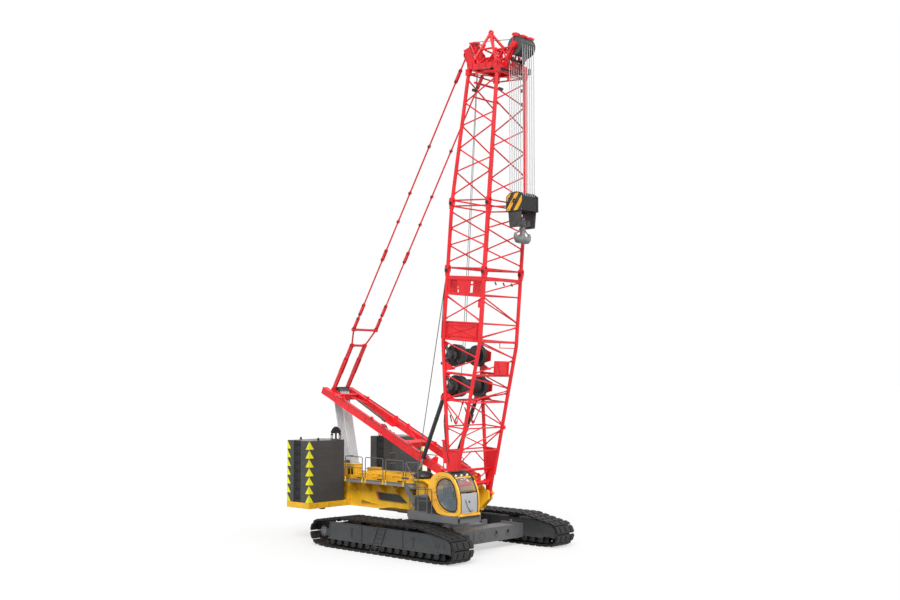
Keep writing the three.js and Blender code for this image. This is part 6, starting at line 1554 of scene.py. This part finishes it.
OUTLINE = rounded([(2.70, 1.88), (3.81, 1.88), (3.93, 1.99), (3.93, 2.70), (3.82, 3.06), (3.59, 3.44),
                   (3.37, 3.61), (3.13, 3.68), (2.78, 3.68), (2.41, 3.57), (2.17, 3.28), (2.08, 2.92),
                   (2.13, 2.60), (2.44, 2.14)])
DOOR = rounded([(2.93, 2.03), (3.77, 2.03), (3.83, 2.13), (3.83, 2.68), (3.70, 3.09), (3.43, 3.40),
                (3.19, 3.50), (2.95, 3.50), (2.66, 3.33), (2.51, 3.01), (2.51, 2.52)], 1)
PANE = rounded([(2.60, 2.93), (2.65, 2.62), (2.80, 2.36), (3.05, 2.16), (3.36, 2.08), (3.76, 2.09),
                (3.77, 2.50), (3.72, 2.82), (3.58, 3.18), (3.40, 3.37), (3.15, 3.43), (2.87, 3.37),
                (2.67, 3.20)])
CENTRE = (3.15, 2.75)
wall = spokes(OUTLINE, CENTRE)
shell, hinge = Kit(), (2.51, -3.022)
band(shell, wall, spokes([np.array(CENTRE) + (p - CENTRE) * 1.008 for p in DOOR], CENTRE), CAB_OUT,
     CAB_OUT + 0.045, True)
band(shell, wall, spokes(inset(DOOR, 0.12), CENTRE), CAB_IN - 0.045, CAB_IN, True)
inside = inset(OUTLINE, 0.045)


def skin(kit, outer, inner, test, a, b):
    for run in runs(outer, test):
        band(kit, [outer[i] for i in run], [inner[i] for i in run], a, b)


def front(p):
    return p[0] > 3.40 and 2.04 < p[1] < 3.45


def rear_light(p):
    return p[0] < 2.34 and 2.92 < p[1] < 3.30


skin(shell, OUTLINE, inside, lambda p: not front(p) and not rear_light(p), CAB_OUT + 0.04, CAB_IN - 0.04)
for a, b in ((CAB_OUT + 0.04, CAB_OUT + 0.11), (CAB_IN - 0.11, CAB_IN - 0.04)):
    skin(shell, OUTLINE, inside, lambda p: p[0] > 3.30 and 1.95 < p[1] < 3.55, a, b)
    skin(shell, OUTLINE, inside, lambda p: p[0] < 2.45 and 2.80 < p[1] < 3.42, a,
         b + (0.11 if b < -2 else 0))
for z in (2.58, 2.92):
    for z0, z1 in ((z - 0.09, z - 0.04), (z + 0.04, z + 0.09)):
        shell.bar((*hinge, z0), (*hinge, z1), 0.021, 16)
        shell.box(2.42, 2.51, -3.03, -2.992, z0, z1)
    shell.bar((*hinge, z - 0.06), (*hinge, z + 0.06), 0.012, 12)
shell.box(3.84, 3.95, -3.0, -1.75, 1.885, 1.96)
make("cab_frame", shell, CAB_YELLOW, "superstructure", angle=40, replaces=["cab_shell"])

leaf = Kit()
band(leaf, spokes(DOOR, CENTRE), spokes(PANE, CENTRE), CAB_OUT, CAB_OUT + 0.045, True)
for z in (2.58, 2.92):
    leaf.lathe([(0.0125, z - 0.039), (0.021, z - 0.039), (0.021, z + 0.039), (0.0125, z + 0.039)],
               (*hinge, 0), "z", 20)
    leaf.box(2.53, 2.60, -3.03, -2.995, z - 0.039, z + 0.039)
make("cab_door_leaf", leaf, CAB_YELLOW, "door", angle=40, replaces=["cab_door"])
seal = Kit()
ring = [(p[0], CAB_OUT - 0.004, p[1]) for p in inset(spokes(PANE, CENTRE), -0.012)]
seal.sweep(ring, 0.026, closed=True)
seal.sweep([(p[0], CAB_OUT + 0.004, p[1]) for p in inset(spokes(DOOR, CENTRE), 0.0)], 0.010, 6, closed=True)
seal.sweep([(3.62, -3.01, 2.72), (3.62, -3.05, 2.72), (3.62, -3.05, 2.90), (3.62, -3.01, 2.90)], 0.012)
make("cab_door_seal", seal, RUBBER, "door")
glass = Kit()
band(glass, spokes(PANE, CENTRE), [np.array(CENTRE) + (p - CENTRE) * 0.02 for p in spokes(PANE, CENTRE)],
     CAB_OUT + 0.015, CAB_OUT + 0.025, True)
make("cab_door_pane", glass, GLASS, "door", replaces=["cab_door_glass"])

upper, lower, seal = Kit(), Kit(), Kit()
a, b = CAB_OUT + 0.11, CAB_IN - 0.11
skin(upper, inset(OUTLINE, 0.012), inset(OUTLINE, 0.022), lambda p: p[0] > 3.34 and 2.86 < p[1] < 3.50, a, b)
# the lower pane is opaque pale grey: a painted reflection of the bright surroundings
skin(lower, inset(OUTLINE, 0.010), inset(OUTLINE, 0.022), lambda p: p[0] > 3.60 and 1.98 < p[1] < 2.93, a, b)
for y in (a, b):
    skin(seal, inset(OUTLINE, -0.008), inset(OUTLINE, 0.03), lambda p: p[0] > 3.30 and 1.98 < p[1] < 3.55,
         y - 0.018, y + 0.018)
seal.box(3.865, 3.905, a, b, 2.86, 2.89)
rear = Kit()
skin(rear, inset(OUTLINE, 0.015), inset(OUTLINE, 0.025), lambda p: p[0] < 2.36 and 2.86 < p[1] < 3.36,
     CAB_OUT + 0.22, CAB_IN - 0.11)
make("windscreen_upper", upper, CLEAR, "superstructure", angle=60, replaces=["cab_windscreen"])
make("windscreen_lower", lower, PAINTED_REFLECTION_PANEL, "superstructure", angle=60)
make("windscreen_seals", seal, RUBBER, "superstructure")
make("cab_rear_window", rear, GLASS, "superstructure")

roof = Kit()
skin(roof, inset(OUTLINE, -0.012), inset(OUTLINE, 0.012), lambda p: 2.86 < p[0] < 3.56 and p[1] > 3.3, -2.93,
     -1.76)
roof.boxes((2.95, 3.28, -2.72, -2.02, 3.68, 3.705), (3.0, 3.06, -2.80, -2.74, 3.68, 3.70))
for y in (-2.90, -1.80):
    skin(roof, inset(OUTLINE, -0.028), inset(OUTLINE, 0.0), lambda p: 2.80 < p[0] < 3.70 and p[1] > 3.2,
         y - 0.02, y + 0.02)
roof.sweep([(3.95, -2.35, 2.10), (3.955, -2.5, 2.25), (3.945, -2.62, 2.55)], 0.012)
roof.sweep([(3.90, -2.35, 2.07), (3.97, -2.35, 2.07), (3.97, -2.20, 2.07)], 0.015)
roof.boxes((3.90, 3.99, -2.95, -1.80, 1.80, 1.875), (3.925, 3.94, -2.42, -2.34, 2.44, 2.50))
make("cab_roof", roof, BLACK, "superstructure")
lamps = Kit()
for x, y in ((3.50, -2.80), (3.50, -2.45), (3.50, -2.1)):
    lamps.bar((x, y, 3.52), (x + 0.06, y, 3.575), 0.045, 14)
lamps.box(3.02, 3.06, -2.9, -2.82, 3.70, 3.72)
make("cab_lamps", lamps, LAMP, "superstructure")
lamps = Kit()
lamps.bar((3.93, -2.93, 1.93), (3.99, -2.93, 1.93), 0.05, 18)
lamps.bar((3.93, -1.80, 1.93), (3.99, -1.80, 1.93), 0.05, 18)
lamps.bar((3.88, -2.965, 1.99), (3.845, -2.965, 3.0), 0.030, 12)
lamps.bar((3.845, -2.965, 3.0), (3.62, -2.965, 3.40), 0.030, 12)
make("cab_posts", lamps, PALE_YELLOW, "superstructure")
rail = Kit()
rail.sweep([(3.93, -2.75, 2.02), (3.985, -2.73, 2.02), (3.985, -2.40, 2.02), (3.93, -2.38, 2.02)], 0.014)
rail.sweep([(2.60, -3.03, 3.35), (2.62, -3.08, 3.35), (2.72, -3.08, 3.52), (2.80, -3.03, 3.58)], 0.011)
make("cab_handles", rail, CHROME, "superstructure")
kit = Kit()
kit.boxes((3.40, 3.46, -2.86, -2.60, 2.62, 2.90), (3.66, 3.82, -2.7, -2.05, 1.94, 2.06))
for y in (-2.66, -2.08):
    kit.bar((3.02, y, 2.52), (3.06, y, 2.72), 0.016, 8)
    kit.bar((3.06, y, 2.70), (3.065, y, 2.76), 0.03, 12)
for y in (-2.55, -2.2):
    kit.box(3.58, 3.70, y - 0.06, y + 0.06, 1.98, 2.16)
kit.boxes((2.28, 2.36, -2.8, -1.95, 2.0, 2.7), (2.60, 3.6, -1.82, -1.80, 1.95, 2.25))
make("cab_controls", kit, RUBBER, "superstructure", bevel=0.01)


# ---------- studio ----------
def shown_directly(tree):
    """One for rays that a camera, a mirror or a glass sees, nought for the light itself."""
    path = tree.nodes.new("ShaderNodeLightPath")
    seen = path.outputs["Is Camera Ray"]
    for other in ("Is Glossy Ray", "Is Transmission Ray"):
        node = tree.nodes.new("ShaderNodeMath")
        node.operation = "MAXIMUM"
        tree.links.new(seen, node.inputs[0])
        tree.links.new(path.outputs[other], node.inputs[1])
        seen = node.outputs[0]
    return seen


scene = bpy.context.scene
world = bpy.data.worlds.new("studio")
scene.world = world
world.use_nodes = True
tree = world.node_tree
back = tree.nodes["Background"]
level = tree.nodes.new("ShaderNodeMapRange")
level.inputs["To Min"].default_value = WORLD_LIGHT
level.inputs["To Max"].default_value = 1.0
tree.links.new(shown_directly(tree), level.inputs["Value"])
tree.links.new(level.outputs["Result"], back.inputs["Strength"])
back.inputs["Color"].default_value = (1, 1, 1, 1)

floor_mesh = bpy.data.meshes.new("studio_floor")
R = 900.0
floor_mesh.from_pydata([(-R, -R, 0), (R, -R, 0), (R, R, 0), (-R, R, 0)], [], [(0, 1, 2, 3)])
floor = bpy.data.objects.new("studio_floor", floor_mesh)
scene.collection.objects.link(floor)
pale = bpy.data.materials.new("studio_floor")
pale.use_nodes = True
tree = pale.node_tree
bsdf = tree.nodes["Principled BSDF"]
bsdf.inputs["Base Color"].default_value = (FLOOR_TONE, FLOOR_TONE, FLOOR_TONE, 1)
bsdf.inputs["Roughness"].default_value = 0.9
bsdf.inputs["Specular IOR Level"].default_value = 0.1
glow = tree.nodes.new("ShaderNodeMath")
glow.operation = "MULTIPLY"
glow.inputs[1].default_value = FLOOR_GLOW
tree.links.new(shown_directly(tree), glow.inputs[0])
tree.links.new(glow.outputs[0], bsdf.inputs["Emission Strength"])
bsdf.inputs["Emission Color"].default_value = (1, 1, 1, 1)
floor_mesh.materials.append(pale)


def sun(name, strength, azimuth, height, spread):
    light = bpy.data.lights.new(name, "SUN")
    light.energy, light.angle = strength, math.radians(spread)
    obj = bpy.data.objects.new(name, light)
    scene.collection.objects.link(obj)
    a, h = math.radians(azimuth), math.radians(height)
    toward = Vector((math.cos(a) * math.cos(h), math.sin(a) * math.cos(h), math.sin(h)))
    obj.rotation_euler = toward.to_track_quat("Z", "Y").to_euler()


sun("key", 2.3, -56, 44, 30)
sun("fill", 0.7, 20, 35, 60)

camera_data = bpy.data.cameras.new("camera")
camera_data.lens, camera_data.sensor_width = 44.76, 36.0
camera_data.clip_end = 2000
camera = bpy.data.objects.new("camera", camera_data)
camera.location = (37.26, -37.56, 7.64)
yaw, pitch = math.radians(133.54), math.radians(4.04)
look_along = Vector((math.cos(yaw) * math.cos(pitch), math.sin(yaw) * math.cos(pitch), math.sin(pitch)))
camera.rotation_euler = look_along.to_track_quat("-Z", "Y").to_euler()
scene.collection.objects.link(camera)
scene.camera = camera
scene.view_settings.view_transform = "Standard"
